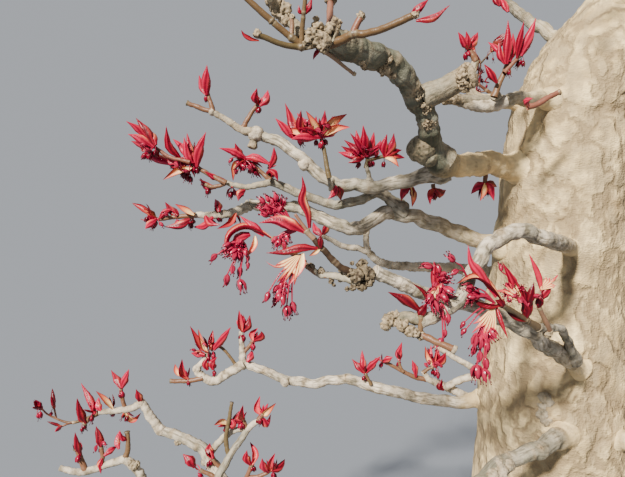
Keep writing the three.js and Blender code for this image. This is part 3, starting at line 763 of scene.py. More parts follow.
def stub_bark(name, stub):
    """A side shoot cut off long ago: a short limb with a corky rim round a hollow end."""
    start, end = np.array(stub["from"], dtype=float), np.array(stub["to"], dtype=float)
    size = stub["radius"]
    length = np.linalg.norm(end - start)
    side = np.linspace(0, 1, max(4, round(length / BARK[0])))
    share = np.r_[side, 1.01, 1.02, 1.03, 1.04, 1.05]
    line = start + (end - start) * share[:, None]
    profile = np.r_[np.interp(side, *STUB_SIDE), STUB_END]
    slid = np.r_[0 * side, np.array(STUB_HOLLOW) * size]

    def relief(point, row):
        near_end = np.clip((share[row] - 0.45) / 0.4, 0, 1)
        cork = max(float(near_end), 0.35)
        proud = CRUST[0] * 1.3 * crust(point) * cork + GNARL[0] * size * rough(point, size * 1.6)
        return proud, min(1.0, cork * (0.85 + 0.5 * crust(point))), 0.0, 0.2

    radius_at = lambda row, angle: size * profile[row]
    return rolled_up(f"{name}_stub", line, radius_at, relief, BARK[1], slid=slid)


def bough_bark(bough, seed):
    """One bough's bark: its line and radii with foot, rings, knots and grain."""
    roll = dice(seed)
    name = bough["name"]
    step, sides = NEAR_BARK if name in NEAR_BOUGHS else BARK
    line, at, share = fine_line(bough["bends"], step)
    plain = slender_radii(bough, share)
    bleached = BLEACHED.get(name, BLEACHED_ELSE)
    line = wandering(line, share, plain)
    carrier = limbs[bough["on"]]
    proud = np.array([max(0.0, depth_in(carrier, point)) for point in line])
    radii = plain * (1 + FOOT_FLARE[0] * np.exp(-proud / (FOOT_FLARE[1] * plain[0])))
    cream = np.exp(-proud / CREAM_REACH) if bough["on"] == "trunk" else np.zeros(len(line))
    if name in CREAM_REACHES:
        reach, end = CREAM_REACHES[name]
        cream = np.clip((reach - proud) / end, 0, 1)
    rougher = ROUGHER.get(name, 1.0)
    rings = np.zeros(len(line))
    place = at[-1]
    while place > 0.2 * at[-1]:
        rings += (0.5 + 0.5 * roll()) * np.exp(-(((at - place) / YEAR_RING[1]) ** 2))
        place -= YEAR_GROWTH * (0.5 + 0.9 * roll())
    middles, sizes = knots_on(line, at, plain, roll)

    def relief(point, row):
        far = np.linalg.norm(middles - point, axis=1) / sizes
        swell = np.exp(-(far**2))
        knot = float(np.max(swell))
        size = float(np.max(swell * sizes))
        hollow = float(np.max(np.exp(-((far / KNOT_HOLLOW[1]) ** 2)) * sizes))
        crumbs = crust(point)
        corky = max(knot, RING_CORK * rings[row]) * (0.75 + 0.6 * rough(point, 5))
        height = GNARL[0] * plain[row] * rough(point, GNARL[1] * plain[row])
        height += BARK_GRAIN[0] * rougher * (rough(point, BARK_GRAIN[1]) + rough(point, 2.4 * BARK_GRAIN[1]))
        height += YEAR_RING[0] * plain[row] * rings[row]
        height += KNOT_HEIGHT * size - KNOT_HOLLOW[0] * hollow + CRUST[0] * crumbs * corky
        pale = bleached * (0.75 + 0.5 * rough(point, 12))
        return height, min(1.0, max(0.0, corky * (1.05 + 0.45 * crumbs))), cream[row], pale

    piece = rolled_up(f"bough_{name}_bark", line, lambda row, angle: radii[row], relief, sides)
    stubs = [stub_bark(name, stub) for stub in bough["stubs"]]
    bpy.ops.object.select_all(action="DESELECT")
    for part in (*stubs, piece):
        part.select_set(True)
    bpy.context.view_layer.objects.active = piece
    if stubs:
        bpy.ops.object.join()
    return piece


bough_paint = paint("bough bark", 0.8, 0.3)
grey = ramp(bough_paint, clouds(bough_paint, 13, 4), [
    (0.32, (0.050, 0.054, 0.034)),
    (0.48, (0.105, 0.108, 0.074)),
    (0.66, (0.235, 0.228, 0.168)),
])
cork_shade = ramp(bough_paint, clouds(bough_paint, 1.6, 5), [
    (0.33, (0.05, 0.034, 0.018)),
    (0.44, (0.24, 0.175, 0.10)),
    (0.60, (0.42, 0.325, 0.205)),
])
bleached_bark = ramp(bough_paint, clouds(bough_paint, 5, 6), [
    (0.34, (0.19, 0.155, 0.105)),
    (0.46, (0.45, 0.385, 0.29)),
    (0.60, (0.66, 0.575, 0.455)),
])
weathered = blend(bough_paint, marked(bough_paint, "bleach"), grey, bleached_bark)
furrows = streaks(bough_paint, 1.3, 5, 0.16)
in_furrows = ramp(bough_paint, furrows, greys((0.38, 0.75), (0.50, 0)))
streaked = blend(bough_paint, in_furrows, weathered, (0.095, 0.082, 0.056))
from_trunk = blend(bough_paint, marked(bough_paint, "cream"), streaked, cream_bark(bough_paint))
corky = blend(bough_paint, marked(bough_paint, "cork"), from_trunk, cork_shade)
bough_grain = sums(bough_paint, "MULTIPLY", clouds(bough_paint, 0.9, 6), 0.6)
# Painted shade: where the bleach mark falls below 0 the bark turns nearly black, in the hollows between a
# rough burr's lumps, and over the darker cork of burrs given a bleach below 0.
hollow_shade_and_dark_cork = sums(bough_paint, "MULTIPLY", marked(bough_paint, "bleach"), -1)
crumbled = blend(bough_paint, hollow_shade_and_dark_cork, corky, (0.035, 0.023, 0.013))
finish_paint(bough_paint, crumbled, sums(bough_paint, "ADD", bough_grain, furrows), 0.6)

for seed, (name, bough) in enumerate(list(limbs.items())[1:]):
    bough["stubs"] = SHOWN_BOUGHS.get(name, {}).get("stubs", [])
    piece = bough_bark(bough, 40 + seed)
    piece.data.materials.append(bough_paint)
    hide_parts(f"bough_{name}")
    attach(piece, "root")


# Sprays: fans of young twigs at the boughs' tips. A twig grows from node to node and forks
# there, each fork a quarter turn from the last, and it keeps to its own spray's space. The
# wood is olive to red-brown, with a thin ring at each node. The rule and its seeds are the
# ones that the solids come from.
SUNK = 3  # how deep the foot of a twig lies in the twig that carries it
FLATNESS = 1.35  # a spray's space is this much wider than it is high
LEVELS = 4  # forks between a spray's stem and its tips
LEAF_ROOM = 11  # room that a twig's end leaves for its leaves inside the space
LEAF_ROOM_SHARE = 0.2  # but no more than this share of the spray's reach
TRIES = 4  # directions a shoot tries before it is left out
KINK = 0.3  # how far a shoot may stray from its way at the first try
SPREAD = 0.62  # half angle of a fork, radians
FORK_TURN = 1.2  # how far the plane of a fork may turn, radians
UNEVEN = 0.2  # lengths and angles vary by this share either way
THINNING, SHORTENING = 0.74, 0.8  # radius and length of a fork, as shares of the last one's
STEM_SHARE = 0.4  # length of a spray's stem, as a share of its reach
SHOOT_SHARE = 0.3  # length of the shoots that carry on a given shoot
FIRST_SHARE = 0.8  # radius of the first given shoot, as a share of the stem's
OTHER_SHARE = 0.62  # and of the others
STEM_TO_TIP = 0.85  # radius of a stem, as a share of its bough's tip
LIFT = 0.16  # how strongly shoots turn up towards the light
CLEARANCE = 1.4  # air between a twig and any limb
KNOT_STEP = 3  # spacing of the points that stand for a limb in that test


def limb_knots():
    """Points that stand for all limbs when a twig is tested against them."""
    names, points, radii = [], [], []
    for number, made in enumerate(limbs.values()):
        line, sizes = made["line"], made["radii"]
        for i in range(len(line) - 1):
            parts = math.ceil(np.linalg.norm(line[i + 1] - line[i]) / KNOT_STEP)
            for k in range(parts):
                names.append(number)
                points.append(mix(line[i], line[i + 1], k / parts))
                radii.append(mix(sizes[i], sizes[i + 1], k / parts))
    return np.array(names), np.array(points), np.array(radii)


knot_names, knot_points, knot_radii = limb_knots()
limb_numbers = {name: number for number, name in enumerate(limbs)}
for spray in sprays:
    carrier = limbs[spray["limb"]]
    spray["centre"] = np.array(spray["centre"], dtype=float)
    spray["tip"] = carrier["line"][-1]
    spray["way"] = unit(carrier["line"][-1] - carrier["line"][-2])
    spray["radius"] = carrier["radii"][-1] * STEM_TO_TIP
    spray["node"] = "spray_apex" if spray["limb"] == "trunk" else f"spray_{spray['limb']}"
space_centres = np.array([spray["centre"] for spray in sprays])
space_reaches = np.array([spray["reach"] for spray in sprays])


def stretched(a, b):
    return np.linalg.norm((a - b) * (1, 1, FLATNESS), axis=-1)


def in_space(spray, point, margin):
    """Whether a point lies in the spray's own space, clear of its neighbours' by the margin."""
    own = stretched(point, spray["centre"])
    if own > spray["reach"] - margin:
        return False
    between = stretched(spray["centre"], space_centres)
    near = (between > 0) & (between <= spray["reach"] + space_reaches)
    power = stretched(point, space_centres[near]) ** 2 - space_reaches[near] ** 2
    power += spray["reach"] ** 2 - own**2
    return bool(np.all(power / (2 * between[near]) > margin * FLATNESS))


def touches_limb(a, b, radius, but_not):
    parts = max(1, math.ceil(np.linalg.norm(b - a) / KNOT_STEP))
    points = mix(a, b, (np.arange(parts + 1) / parts)[:, None])
    others = knot_names != limb_numbers.get(but_not, -1)
    far = np.linalg.norm(knot_points[others][None] - points[:, None], axis=2)
    return bool(np.any(far < knot_radii[others][None] + radius + CLEARANCE))


def uneven(roll):
    return mix(1 - UNEVEN, 1 + UNEVEN, roll())


def nearest_on(twigs, place):
    """The point of the twigs grown so far that lies nearest to a place."""
    nearest = []
    for twig in twigs:
        for start, end in zip(twig["line"], twig["line"][1:]):
            stretch = end - start
            share = min(1.0, max(0.0, np.dot(place - start, stretch) / np.dot(stretch, stretch)))
            nearest.append(start + stretch * share)
    return min(nearest, key=lambda point: np.linalg.norm(point - place))


def spun(vector, axis, angle):
    """The vector turned about an axis."""
    axis = unit(axis)
    turned_part = vector * math.cos(angle) + np.cross(axis, vector) * math.sin(angle)
    return turned_part + axis * np.dot(axis, vector) * (1 - math.cos(angle))


def grow_shoot(spray, twig, start, way, length, radius, level):
    roll = spray["roll"]
    own_limb = spray["limb"] if level < 2 else ""
    end = None
    for attempt in range(TRIES):
        kink = np.array((roll() - 0.5, roll() - 0.5, roll() - 0.5))
        turned_way = unit(way + kink * KINK * (1 + attempt) + UP * LIFT)
        there = start + turned_way * length * uneven(roll)
        room = min(LEAF_ROOM, spray["reach"] * LEAF_ROOM_SHARE)
        if in_space(spray, there, room) and not touches_limb(start, there, radius, own_limb):
            end = there
            break
    if end is None:
        return
    if len(twig["line"]) == 1:
        spray["twigs"].append(twig)
    twig["line"].append(end)
    twig["radii"].append(radius * THINNING)
    if level == LEVELS - 1:
        return
    flat = unit(np.cross(turned_way, UP))
    axis = np.cross(flat, turned_way) if level % 2 == 0 else flat
    axis = spun(axis, turned_way, (roll() - 0.5) * FORK_TURN)
    for side in (1, -1):
        fork = spun(turned_way, axis, side * SPREAD * uneven(roll))
        thinner = radius * THINNING
        carrier = twig if side == 1 else {"line": [end], "radii": [thinner]}
        grow_shoot(spray, carrier, end, fork, length * SHORTENING, thinner, level + 1)


BY_HAND = ("front_upper", "low_left")  # their first twigs are laid out one by one below
BY_HAND_ENDS = {"front_upper": (0, 3), "low_left": (1,)}  # and these of them go no further


def grow_spray(spray):
    spray["roll"] = dice(spray["seed"])
    spray["twigs"] = []
    stem = spray["tip"] + spray["way"] * GAP
    given = [np.array(points, dtype=float) for points in spray.get("shoots", [])]
    for points in given:
        first = not spray["twigs"]
        start = stem if first else nearest_on(spray["twigs"], points[0])
        line = [start, *[p for p in points if np.linalg.norm(p - start) > SUNK]]
        radius = spray["radius"] * (FIRST_SHARE if first else OTHER_SHARE)
        share = np.arange(len(line)) / (len(line) - 1)
        radii = list(mix(radius, radius * THINNING, share))
        spray["twigs"].append({"line": line, "radii": radii, "given": len(line) - 1})
    for number, twig in enumerate(list(spray["twigs"])):
        given_length, grown = len(twig["line"]), len(spray["twigs"])
        before, start = twig["line"][-2:]
        level = 2 if len(given) > 2 else 1
        length, radius = spray["reach"] * SHOOT_SHARE, twig["radii"][-1]
        grow_shoot(spray, twig, start, unit(start - before), length, radius, level)
        if number in BY_HAND_ENDS.get(spray["limb"], ()):
            del twig["line"][given_length:], twig["radii"][given_length:], spray["twigs"][grown:]
    if given:
        return
    twig = {"line": [stem], "radii": [spray["radius"]]}
    grow_shoot(spray, twig, stem, spray["way"], spray["reach"] * STEM_SHARE, spray["radius"], 0)


TWIG_SIDES = 6
TWIG_STEP = 2.2  # mm between the rings of a twig
SPUR_APART = 15  # mm from one pair of buds to the next
SPUR_LENGTH = (4, 12)  # shortest and longest side shoot, mm
SPUR_RADIUS = 0.75
TWIG_END = 0.62  # radius at a twig's tip, mm
NODE_SWELL = (0.28, 0.9)  # height as a share of the radius, and half length in mm


def heap():
    return {"points": [], "faces": [], "tint": [], "pale": [], "count": 0}


def put(pile, points, faces, tint, pale):
    """Adds one small shape to a heap that later becomes one mesh."""
    pile["points"].append(points)
    pile["faces"].extend([tuple(corner + pile["count"] for corner in face) for face in faces])
    pile["tint"].append(np.full(len(points), tint) if np.isscalar(tint) else tint)
    pile["pale"].append(np.full(len(points), pale) if np.isscalar(pale) else pale)
    pile["count"] += len(points)


def mesh_of(pile, name, material, nodes):
    """The heap as one piece that stands for the named nodes."""
    mesh = bpy.data.meshes.new(name)
    mesh.from_pydata(np.concatenate(pile["points"]) * MM, [], pile["faces"])
    for mark, name_of_mark in zip(("tint", "pale"), pile.get("marks", ("tint", "pale"))):
        values = np.concatenate(pile[mark])
        mesh.attributes.new(name_of_mark, "FLOAT", "POINT").data.foreach_set("value", values)
    mesh.polygons.foreach_set("use_smooth", np.ones(len(mesh.polygons), dtype=bool))
    mesh.update()
    piece = bpy.data.objects.new(name, mesh)
    bpy.context.collection.objects.link(piece)
    mesh.materials.append(material)
    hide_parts(*nodes)
    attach(piece, "root")
    return piece


def skin(rings, sides):
    """The faces between rings of points."""
    faces = []
    for i in range(rings - 1):
        for k in range(sides):
            a, b = i * sides + k, i * sides + (k + 1) % sides
            faces.append((a, b, b + sides, a + sides))
    return faces


def strip(rows, columns):
    """The faces between open rows of points."""
    corners = [i * columns + k for i in range(rows - 1) for k in range(columns - 1)]
    return [(a, a + 1, a + 1 + columns, a + columns) for a in corners]


def tube(pile, line, radii, sides, tint, pale, closed_tip=True):
    """A thin round stem along a line."""
    ways, across, beside = rings_along(np.array(line))
    angles = 2 * math.pi * np.arange(sides) / sides
    ring = across[:, None] * np.cos(angles)[None, :, None] + beside[:, None] * np.sin(angles)[None, :, None]
    radii = np.array(radii)[:, None] if np.ndim(radii) == 1 else radii
    points = (np.array(line)[:, None] + ring * radii[:, :, None]).reshape(-1, 3)
    faces = skin(len(line), sides)
    if closed_tip:
        faces.append(tuple(range((len(line) - 1) * sides, len(line) * sides)))
    spread = lambda value: value if np.isscalar(value) else np.repeat(value, sides)
    put(pile, points, faces, spread(tint), spread(pale))


def twig_line(line, radii, step=TWIG_STEP):
    """A twig's smooth line. Each of its points has a distance from the foot in mm, a place
    counted in the given points, and a radius."""
    fine, at, share = fine_line(line, step)
    where = share * (len(line) - 1)
    return fine, at, where, np.interp(where, np.arange(len(line)), radii)


def node_rings(at, apart, offset):
    """1 at each node of a twig, 0 between nodes."""
    phase = (at - offset) % apart
    near = np.minimum(phase, apart - phase)
    return np.exp(-((near / NODE_SWELL[1]) ** 2))


# Leaves: each opens from the bud folded like a closed fan. The first are slim spears, then
# narrow folded blades, and the widest are pleated fans with five or seven fingers. They are
# thin, crimson, paler along the edge, and yellow where they leave the twig.
def pod(length, width, bend, sides=4):
    """A rolled spear: points along +Y from the foot, bent towards +Z."""
    t = np.array((0, 0.1, 0.34, 0.64, 0.86, 1.0))
    size = np.array((0.22, 0.5, 1.0, 0.82, 0.42, 0.0)) * width / 2
    points = []
    for i in range(len(t) - 1):
        for k in range(sides):
            angle = 2 * math.pi * (k + 0.5) / sides
            x, z = size[i] * math.cos(angle), 0.75 * size[i] * math.sin(angle)
            points.append((x, t[i] * length, z + bend * length * t[i] ** 2))
    faces = skin(len(t) - 1, sides)
    last = (len(t) - 2) * sides
    faces += [(last + k, last + (k + 1) % sides, len(points)) for k in range(sides)]
    points.append((0, length, bend * length))
    pale = np.repeat((1 - t[:-1]) ** 5 * 0.5, sides)
    return np.array(points), faces, np.append(pale, 0.05)


def folded(length, width, bend, fold):
    """A narrow blade folded along its middle rib, fold from 0, flat, to 1, shut."""
    t = np.array((0, 0.14, 0.38, 0.66, 0.86, 1.0))
    size = np.array((0.12, 0.5, 1.0, 0.8, 0.4, 0.0)) * width / 2
    lift = fold * math.pi / 2
    points = []
    for i in range(len(t) - 1):
        z = bend * length * t[i] ** 2
        for side in (-1, 0, 1):
            x = side * size[i] * math.cos(lift)
            points.append((x, t[i] * length, z + abs(side) * size[i] * math.sin(lift)))
    faces = strip(len(t) - 1, 3)
    last = 3 * (len(t) - 2)
    faces += [(last, last + 1, len(points)), (last + 1, last + 2, len(points))]
    points.append((0, length, bend * length))
    pale = np.repeat((1 - t[:-1]) ** 3, 3) * np.tile((0.15, 0.75, 0.15), len(t) - 1)
    return np.array(points), faces, np.append(pale, 0.05)


def fan(length, fingers, spread, pleat, droop):
    """A pleated young leaf: a web that parts into narrow pointed fingers."""
    points, faces, pale = [(0, 0, 0)], [], [0.9]
    columns = 2 * fingers + 1
    web = (0.22, 0.46)
    for reach in web:
        for k in range(columns):
            angle = mix(-spread, spread, k / (columns - 1))
            ridge = pleat * reach * length * (0.5 if k % 2 else -0.5)
            points.append((
                reach * length * math.sin(angle),
                reach * length * math.cos(angle),
                ridge - droop * length * reach**2,
            ))
            pale.append((0.9 if k % 2 else 0.3) * (1 - reach) ** 2)
    faces += [(0, 1 + k + 1, 1 + k) for k in range(columns - 1)]
    for k in range(columns - 1):
        faces.append((1 + k, 2 + k, 2 + k + columns, 1 + k + columns))
    for finger in range(fingers):
        middle = 1 + columns + 2 * finger + 1
        angle = mix(-spread, spread, (2 * finger + 1) / (columns - 1))
        tall = length * (1 - 0.42 * abs(2 * (finger + 0.5) / fingers - 1) ** 1.5)
        way, beside = (math.sin(angle), math.cos(angle)), (math.cos(angle), -math.sin(angle))
        start = len(points)
        for reach, half, lift in ((0.72, 0.085, 0.02), (0.72, 0, 0.05), (0.72, -0.085, 0.02), (1.0, 0, 0)):
            along = web[1] * length + (tall - web[1] * length) * (reach - web[1]) / (1 - web[1])
            points.append((
                way[0] * along - beside[0] * half * length,
                way[1] * along - beside[1] * half * length,
                lift * length * pleat - droop * length * reach**2,
            ))
            pale.append(0.0 if half else 0.1)
        faces.append((middle - 1, middle, start + 1, start))
        faces.append((middle, middle + 1, start + 2, start + 1))
        faces.append((start, start + 1, start + 3))
        faces.append((start + 1, start + 2, start + 3))
    return np.array(points), faces, np.array(pale)


def laid(points, foot, way, face):
    """A shape's points with its length along way and its upper side towards face."""
    way = unit(way)
    side = np.cross(way, face)
    side = unit(side) if np.linalg.norm(side) > 1e-6 else unit(np.cross(way, (1.0, 0.3, 0)))
    top = np.cross(side, way)
    return foot + points @ np.array([side, way, top])


def add_leaf(pile, kind, foot, way, face, length, roll, tint=None):
    tint = roll() if tint is None else tint
    if kind == "spear":
        points, faces, pale = pod(length, length * (0.24 + 0.07 * roll()), 0.12 * (roll() - 0.3))
    elif kind == "blade":
        points, faces, pale = folded(length, length * 0.36, -0.1 - 0.2 * roll(), 0.45 + 0.35 * roll())
    else:
        fingers = 5 if roll() < 0.6 else 7
        points, faces, pale = fan(length, fingers, 0.35 + 0.35 * roll(), 0.42, 0.2 + 0.3 * roll())
    put(pile, laid(points, foot, way, face), faces, tint, pale)


# Blossom: small dark red flowers on thin stalks, three to eight from each opening bud. They
# nod below the leaves in a loose bunch, deeply ribbed and nearly shut, and a few show
# stamens at the mouth.
FLOWER = 3.7  # length of a flower, mm
PETALS = 4
STALK_BENDS = (0.25, 0.5, 0.75, 1.0)  # shares of the way from its first direction to hanging
STALK_RADII = (0.34, 0.26, 0.24, 0.26, 0.34)
WITH_STAMENS = 0.4  # share of the flowers


def flower(length):
    """A ribbed bell along +Y: its foot at the stalk, its petal tips round the mouth."""
    t = np.array((0, 0.14, 0.45, 0.8, 1.0))
    size = np.array((0.08, 0.3, 0.42, 0.36, 0.24)) * length
    inward = np.array((1.0, 0.85, 0.66, 0.6, 0.3))
    reach = np.array((0.0, 0.0, 0.0, 0.0, 0.1)) * length
    sides = 2 * PETALS
    points = []
    for i in range(len(t)):
        for k in range(sides):
            on_rib = k % 2 == 0
            radius = size[i] * (1 if on_rib else inward[i])
            along = t[i] * length + reach[i] * (1 if on_rib else -2)
            angle = math.pi * k / PETALS
            points.append((radius * math.cos(angle), along, radius * math.sin(angle)))
    faces = [*skin(len(t), sides), tuple(range(len(points) - sides, len(points)))]
    # Paler on the ribs, a painted highlight, and paler at the foot and at the mouth.
    pale = np.repeat((0.3, 0.08, 0.0, 0.05, 0.35), sides) * np.tile((1.0, 0.3), len(t) * PETALS)
    return np.array(points), faces, pale


def add_flower(pile, foot, out, stalk, roll):
    """A flower on its stalk, which leaves along out and bends down under the flower's weight."""
    down = -UP * 0.9
    line = [np.array(foot, dtype=float)]
    for share in STALK_BENDS:
        line.append(line[-1] + unit(mix(unit(out), down, share**0.8)) * stalk / len(STALK_BENDS))
    tint = roll()
    tube(pile, line, STALK_RADII, 3, tint, 0.3, closed_tip=False)
    points, faces, pale = flower(FLOWER * (0.75 + 0.45 * roll()))
    hang = unit(line[-1] - line[-2] + 0.9 * np.array((roll() - 0.5, roll() - 0.5, roll() - 0.6)))
    put(pile, laid(points, line[-1], hang, np.array((1.0, 0.2, 0))), faces, tint, pale)
    if roll() < WITH_STAMENS:
        for _ in range(3):
            tip = hang + 0.5 * np.array((roll() - 0.5, roll() - 0.5, roll() - 0.5))
            end = line[-1] + unit(tip) * FLOWER * (1.25 + 0.4 * roll())
            tube(pile, [line[-1] + hang * FLOWER * 0.8, end], [0.12, 0.22], 3, 0.1, 0.1)


def square_to(way):
    """Any way square to this one."""
    return unit(np.cross(way, UP if abs(way[2]) < 0.9 else np.array((1.0, 0, 0))))


SCALES = (3, 4.2)  # at the foot of a tuft: their number, and their length in mm
LEAF_LENGTH = (11, 17)  # shortest and longest leaf of the first pair, mm
LATER_PAIRS = 0.8  # their length, as a share of that
STILL_ROLLED, STILL_FOLDED = 0.6, 0.9  # draws below these give a spear or a blade


def add_tuft(leaves, blossom, foot, way, roll, size, pairs, flowers):
    """What an opening bud holds: scales, pairs of leaves, and flowers below them."""
    turn = 2 * math.pi * roll()
    count, length = SCALES
    for k in range(count):
        side = spun(square_to(way), way, turn + k * 2 * math.pi / count)
        add_leaf(leaves, "spear", foot - way * 0.6, way + side * 0.6, side, length * size, roll, 0.8)
    for pair in range(pairs):
        for k in range(2):
            side = spun(square_to(way), way, turn + math.pi * k + math.pi / 2 * pair + 0.5 * roll())
            lean = 0.25 + 0.7 * roll()
            choice = roll()
            kind = "spear" if choice < STILL_ROLLED else "blade" if choice < STILL_FOLDED else "fan"
            length = size * mix(*LEAF_LENGTH, roll()) * (1.0 if pair == 0 else LATER_PAIRS)
            add_leaf(leaves, kind, foot, way + side * lean + UP * 0.25, side + UP * 0.4, length, roll)
    for _ in range(flowers):
        side = spun(square_to(way), way, 2 * math.pi * roll())
        out = way * (0.4 + 0.8 * roll()) + side
        add_flower(blossom, foot, out, size * (3 + 5 * roll()), roll)


twig_paint = paint("young twig", 0.4, 0.35)
young = ramp(twig_paint, marked(twig_paint, "tint"), [
    (0.0, (0.024, 0.012, 0.007)),
    (0.3, (0.062, 0.043, 0.012)),
    (0.6, (0.125, 0.050, 0.018)),
    (1.0, (0.175, 0.034, 0.024)),
])
in_dust = sums(twig_paint, "MULTIPLY", clouds(twig_paint, 3, 4), 0.3)
dusty = blend(twig_paint, in_dust, young, (0.12, 0.075, 0.035))
ringed = blend(twig_paint, marked(twig_paint, "pale"), dusty, (0.42, 0.32, 0.20))
finish_paint(twig_paint, ringed, clouds(twig_paint, 0.6, 4), 0.12)

leaf_paint = paint("red leaf", 0.32, 0.25)
crimson = ramp(leaf_paint, marked(leaf_paint, "tint"), [
    (0.0, (0.040, 0.0, 0.004)),
    (0.3, (0.092, 0.0, 0.007)),
    (0.6, (0.23, 0.0, 0.017)),
    (0.85, (0.42, 0.001, 0.036)),
    (1.0, (0.58, 0.012, 0.072)),
])
leaf_shade = sums(leaf_paint, "MULTIPLY", clouds(leaf_paint, 3.5, 4), 0.6)
mottled = blend(leaf_paint, leaf_shade, crimson, (0.085, 0.0, 0.006))
inner_side = ramp(leaf_paint, marked(leaf_paint, "pale"), [
    (0.1, (0.68, 0.04, 0.05)),
    (0.4, (0.88, 0.28, 0.11)),
    (0.7, (0.95, 0.68, 0.30)),
])
# The pale mark gives the yellow inner side and pale foot of a leaf, and on the near spears' ribs a painted
# highlight.
inside = sums(leaf_paint, "MULTIPLY", marked(leaf_paint, "pale"), 1.4)
inner_side_and_rib_highlight = blend(leaf_paint, inside, mottled, inner_side)
finish_paint(leaf_paint, inner_side_and_rib_highlight, clouds(leaf_paint, 0.8, 3), 0.18)

blossom_paint = paint("blossom", 0.22, 0.3)
wine = ramp(blossom_paint, marked(blossom_paint, "tint"), [
    (0.0, (0.060, 0.0, 0.005)),
    (0.55, (0.145, 0.0, 0.011)),
    (1.0, (0.30, 0.001, 0.030)),
])
lit_rib = blend(blossom_paint, marked(blossom_paint, "pale"), wine, (0.58, 0.045, 0.115))
finish_paint(blossom_paint, lit_rib, clouds(blossom_paint, 0.7, 3), 0.1)


# The sprays put together: the twigs that the rule grew, carried on to finer shoots within
# the same space, with opposite buds at their nodes, and a tuft of leaves and flowers at
# every tip. The side that is looked at is kept as open as it is.
FINER = {"seen": 0, "low": 2, "high": 2}  # more forks past the solids' own
SPARE = {"back_left": 0, "back_low": 1}  # and where the crown is thin
TWIG_SLENDER = 0.72  # the twigs' radii as shares of those of the solids
# Only what shows to the right of this column or below this row is kept of these sprays
KEPT_OPEN = {"low_right": (700, 512), "back_left": (468, 130)}
FINE_LENGTH = 15  # mm of the first finer shoot
FINE_RADIUS = 0.8
FINE_ROOM = 7  # mm that its end keeps from the edge of the spray's space
FINE_THINNING = 0.85  # length and radius of each fork, as shares of the last one's
FINE_CHANCE = 0.6  # share of the buds on such a twig that have become finer shoots
SHUT_CHANCE = 0.3  # share of the buds that haven't opened
BUD_ROOM = (8, 6, 2)  # mm ahead of a bud that are in the space, that are clear, and how wide
DRESS_SEED = 5000  # keeps these draws apart from those that the twigs were grown with


def grow_finer(spray, heaps, start, way, length, radius, level, roll):
    """A fine shoot with its own forks. Says whether there was room for it."""
    twigs, leaves, blossom = heaps
    kink = np.array((roll() - 0.5, roll() - 0.5, roll() - 0.5))
    bent = unit(way + kink * 0.6 + UP * LIFT)
    end = start + bent * length * uneven(roll)
    if not in_space(spray, end, FINE_ROOM) or touches_limb(mix(start, end, 0.6), end, radius, ""):
        return False
    middle = mix(start, end, 0.5) + square_to(bent) * length * 0.06
    tube(twigs, [start, middle, end], [radius, radius * 0.85, radius * 0.8], 5, 0.85, 0.1)
    if level == 0:
        size, pairs, flowers = 0.75 + 0.35 * roll(), 1 + (roll() < 0.6), round(2.4 * roll())
        add_tuft(leaves, blossom, end, bent, roll, size, pairs, flowers)
        return True
    axis = spun(square_to(bent), bent, 2 * math.pi * roll())
    grown = []
    for side in (1, -1):
        fork = spun(bent, axis, side * SPREAD)
        sizes = length * FINE_THINNING, radius * FINE_THINNING
        grown.append(grow_finer(spray, heaps, end, fork, *sizes, level - 1, roll))
    if not any(grown):
        add_tuft(leaves, blossom, end, bent, roll, 0.8, 1, 2)
    return True


def in_the_open(spray, point):
    """Whether a point would cover what shows between the boughs."""
    column, row, _ = shown(point)
    left, above = KEPT_OPEN.get(spray["limb"], (0, 0))
    return column < left and row < above


def dress(spray, heaps, finer):
    """The twigs of one spray with all that grows on them."""
    twigs, leaves, blossom = heaps
    roll = dice(spray["seed"] + DRESS_SEED)
    for twig in spray["twigs"]:
        by_hand = twig.get("given", 0) if spray["limb"] in BY_HAND else 0
        hidden = [not in_the_open(spray, point) for point in twig["line"]]
        end = hidden.index(False) if False in hidden else len(hidden)
        if end - by_hand < 2:
            continue
        radii = np.array(twig["radii"][by_hand:end]) * TWIG_SLENDER
        radii[-1] = max(TWIG_END, radii[-1] * 0.8)
        line, at, _, smooth = twig_line(np.array(twig["line"][by_hand:end]), radii)
        apart = SPUR_APART * (0.8 + 0.4 * roll())
        rings = node_rings(at, apart, at[-1])
        age = 0.2 + 0.8 * at / at[-1]
        tube(twigs, line, smooth * (1 + NODE_SWELL[0] * rings), TWIG_SIDES, age, rings * 0.8)
        way = unit(line[-1] - line[-2])
        add_tuft(leaves, blossom, line[-1], way, roll, 0.9 + 0.3 * roll(), 2, round(1 + 3 * roll()))
        if finer:
            axis = spun(square_to(way), way, 2 * math.pi * roll())
            for side in (1, -1):
                fork = spun(way, axis, side * SPREAD)
                grow_finer(spray, heaps, line[-1], fork, FINE_LENGTH, FINE_RADIUS, finer - 1, roll)
        turn = 2 * math.pi * roll()
        for k in range(1, int(at[-1] / apart) + 1):
            row = nearest_to(at[:, None], np.array([at[-1] - k * apart]))
            if row < 3:
                continue
            ahead = unit(line[row + 1] - line[row])
            for side in (0, math.pi):
                out = spun(square_to(ahead), ahead, turn + side + k * math.pi / 2)
                along = unit(ahead * 0.8 + out)
                if finer and roll() < FINE_CHANCE:
                    start, longer = line[row], FINE_LENGTH * 1.1
                    grow_finer(spray, heaps, start, along, longer, FINE_RADIUS, finer - 1, roll)
                    continue
                length = mix(*SPUR_LENGTH, roll() ** 2)
                end = line[row] + along * (length + smooth[row])
                if roll() < SHUT_CHANCE or in_the_open(spray, end):
                    continue
                inside, clear, wide = BUD_ROOM
                if not in_space(spray, end + along * inside, wide):
                    continue
                if touches_limb(end, end + along * clear, wide, ""):
                    continue
                spur = [line[row], mix(line[row], end, 0.5) + UP * 0.3, end]
                tube(twigs, spur, [SPUR_RADIUS, SPUR_RADIUS * 0.85, SPUR_RADIUS * 0.9], 5, 0.9, 0.15)
                add_tuft(leaves, blossom, end, along, roll, 0.45 + 0.4 * roll(), 1, round(2 * roll()))


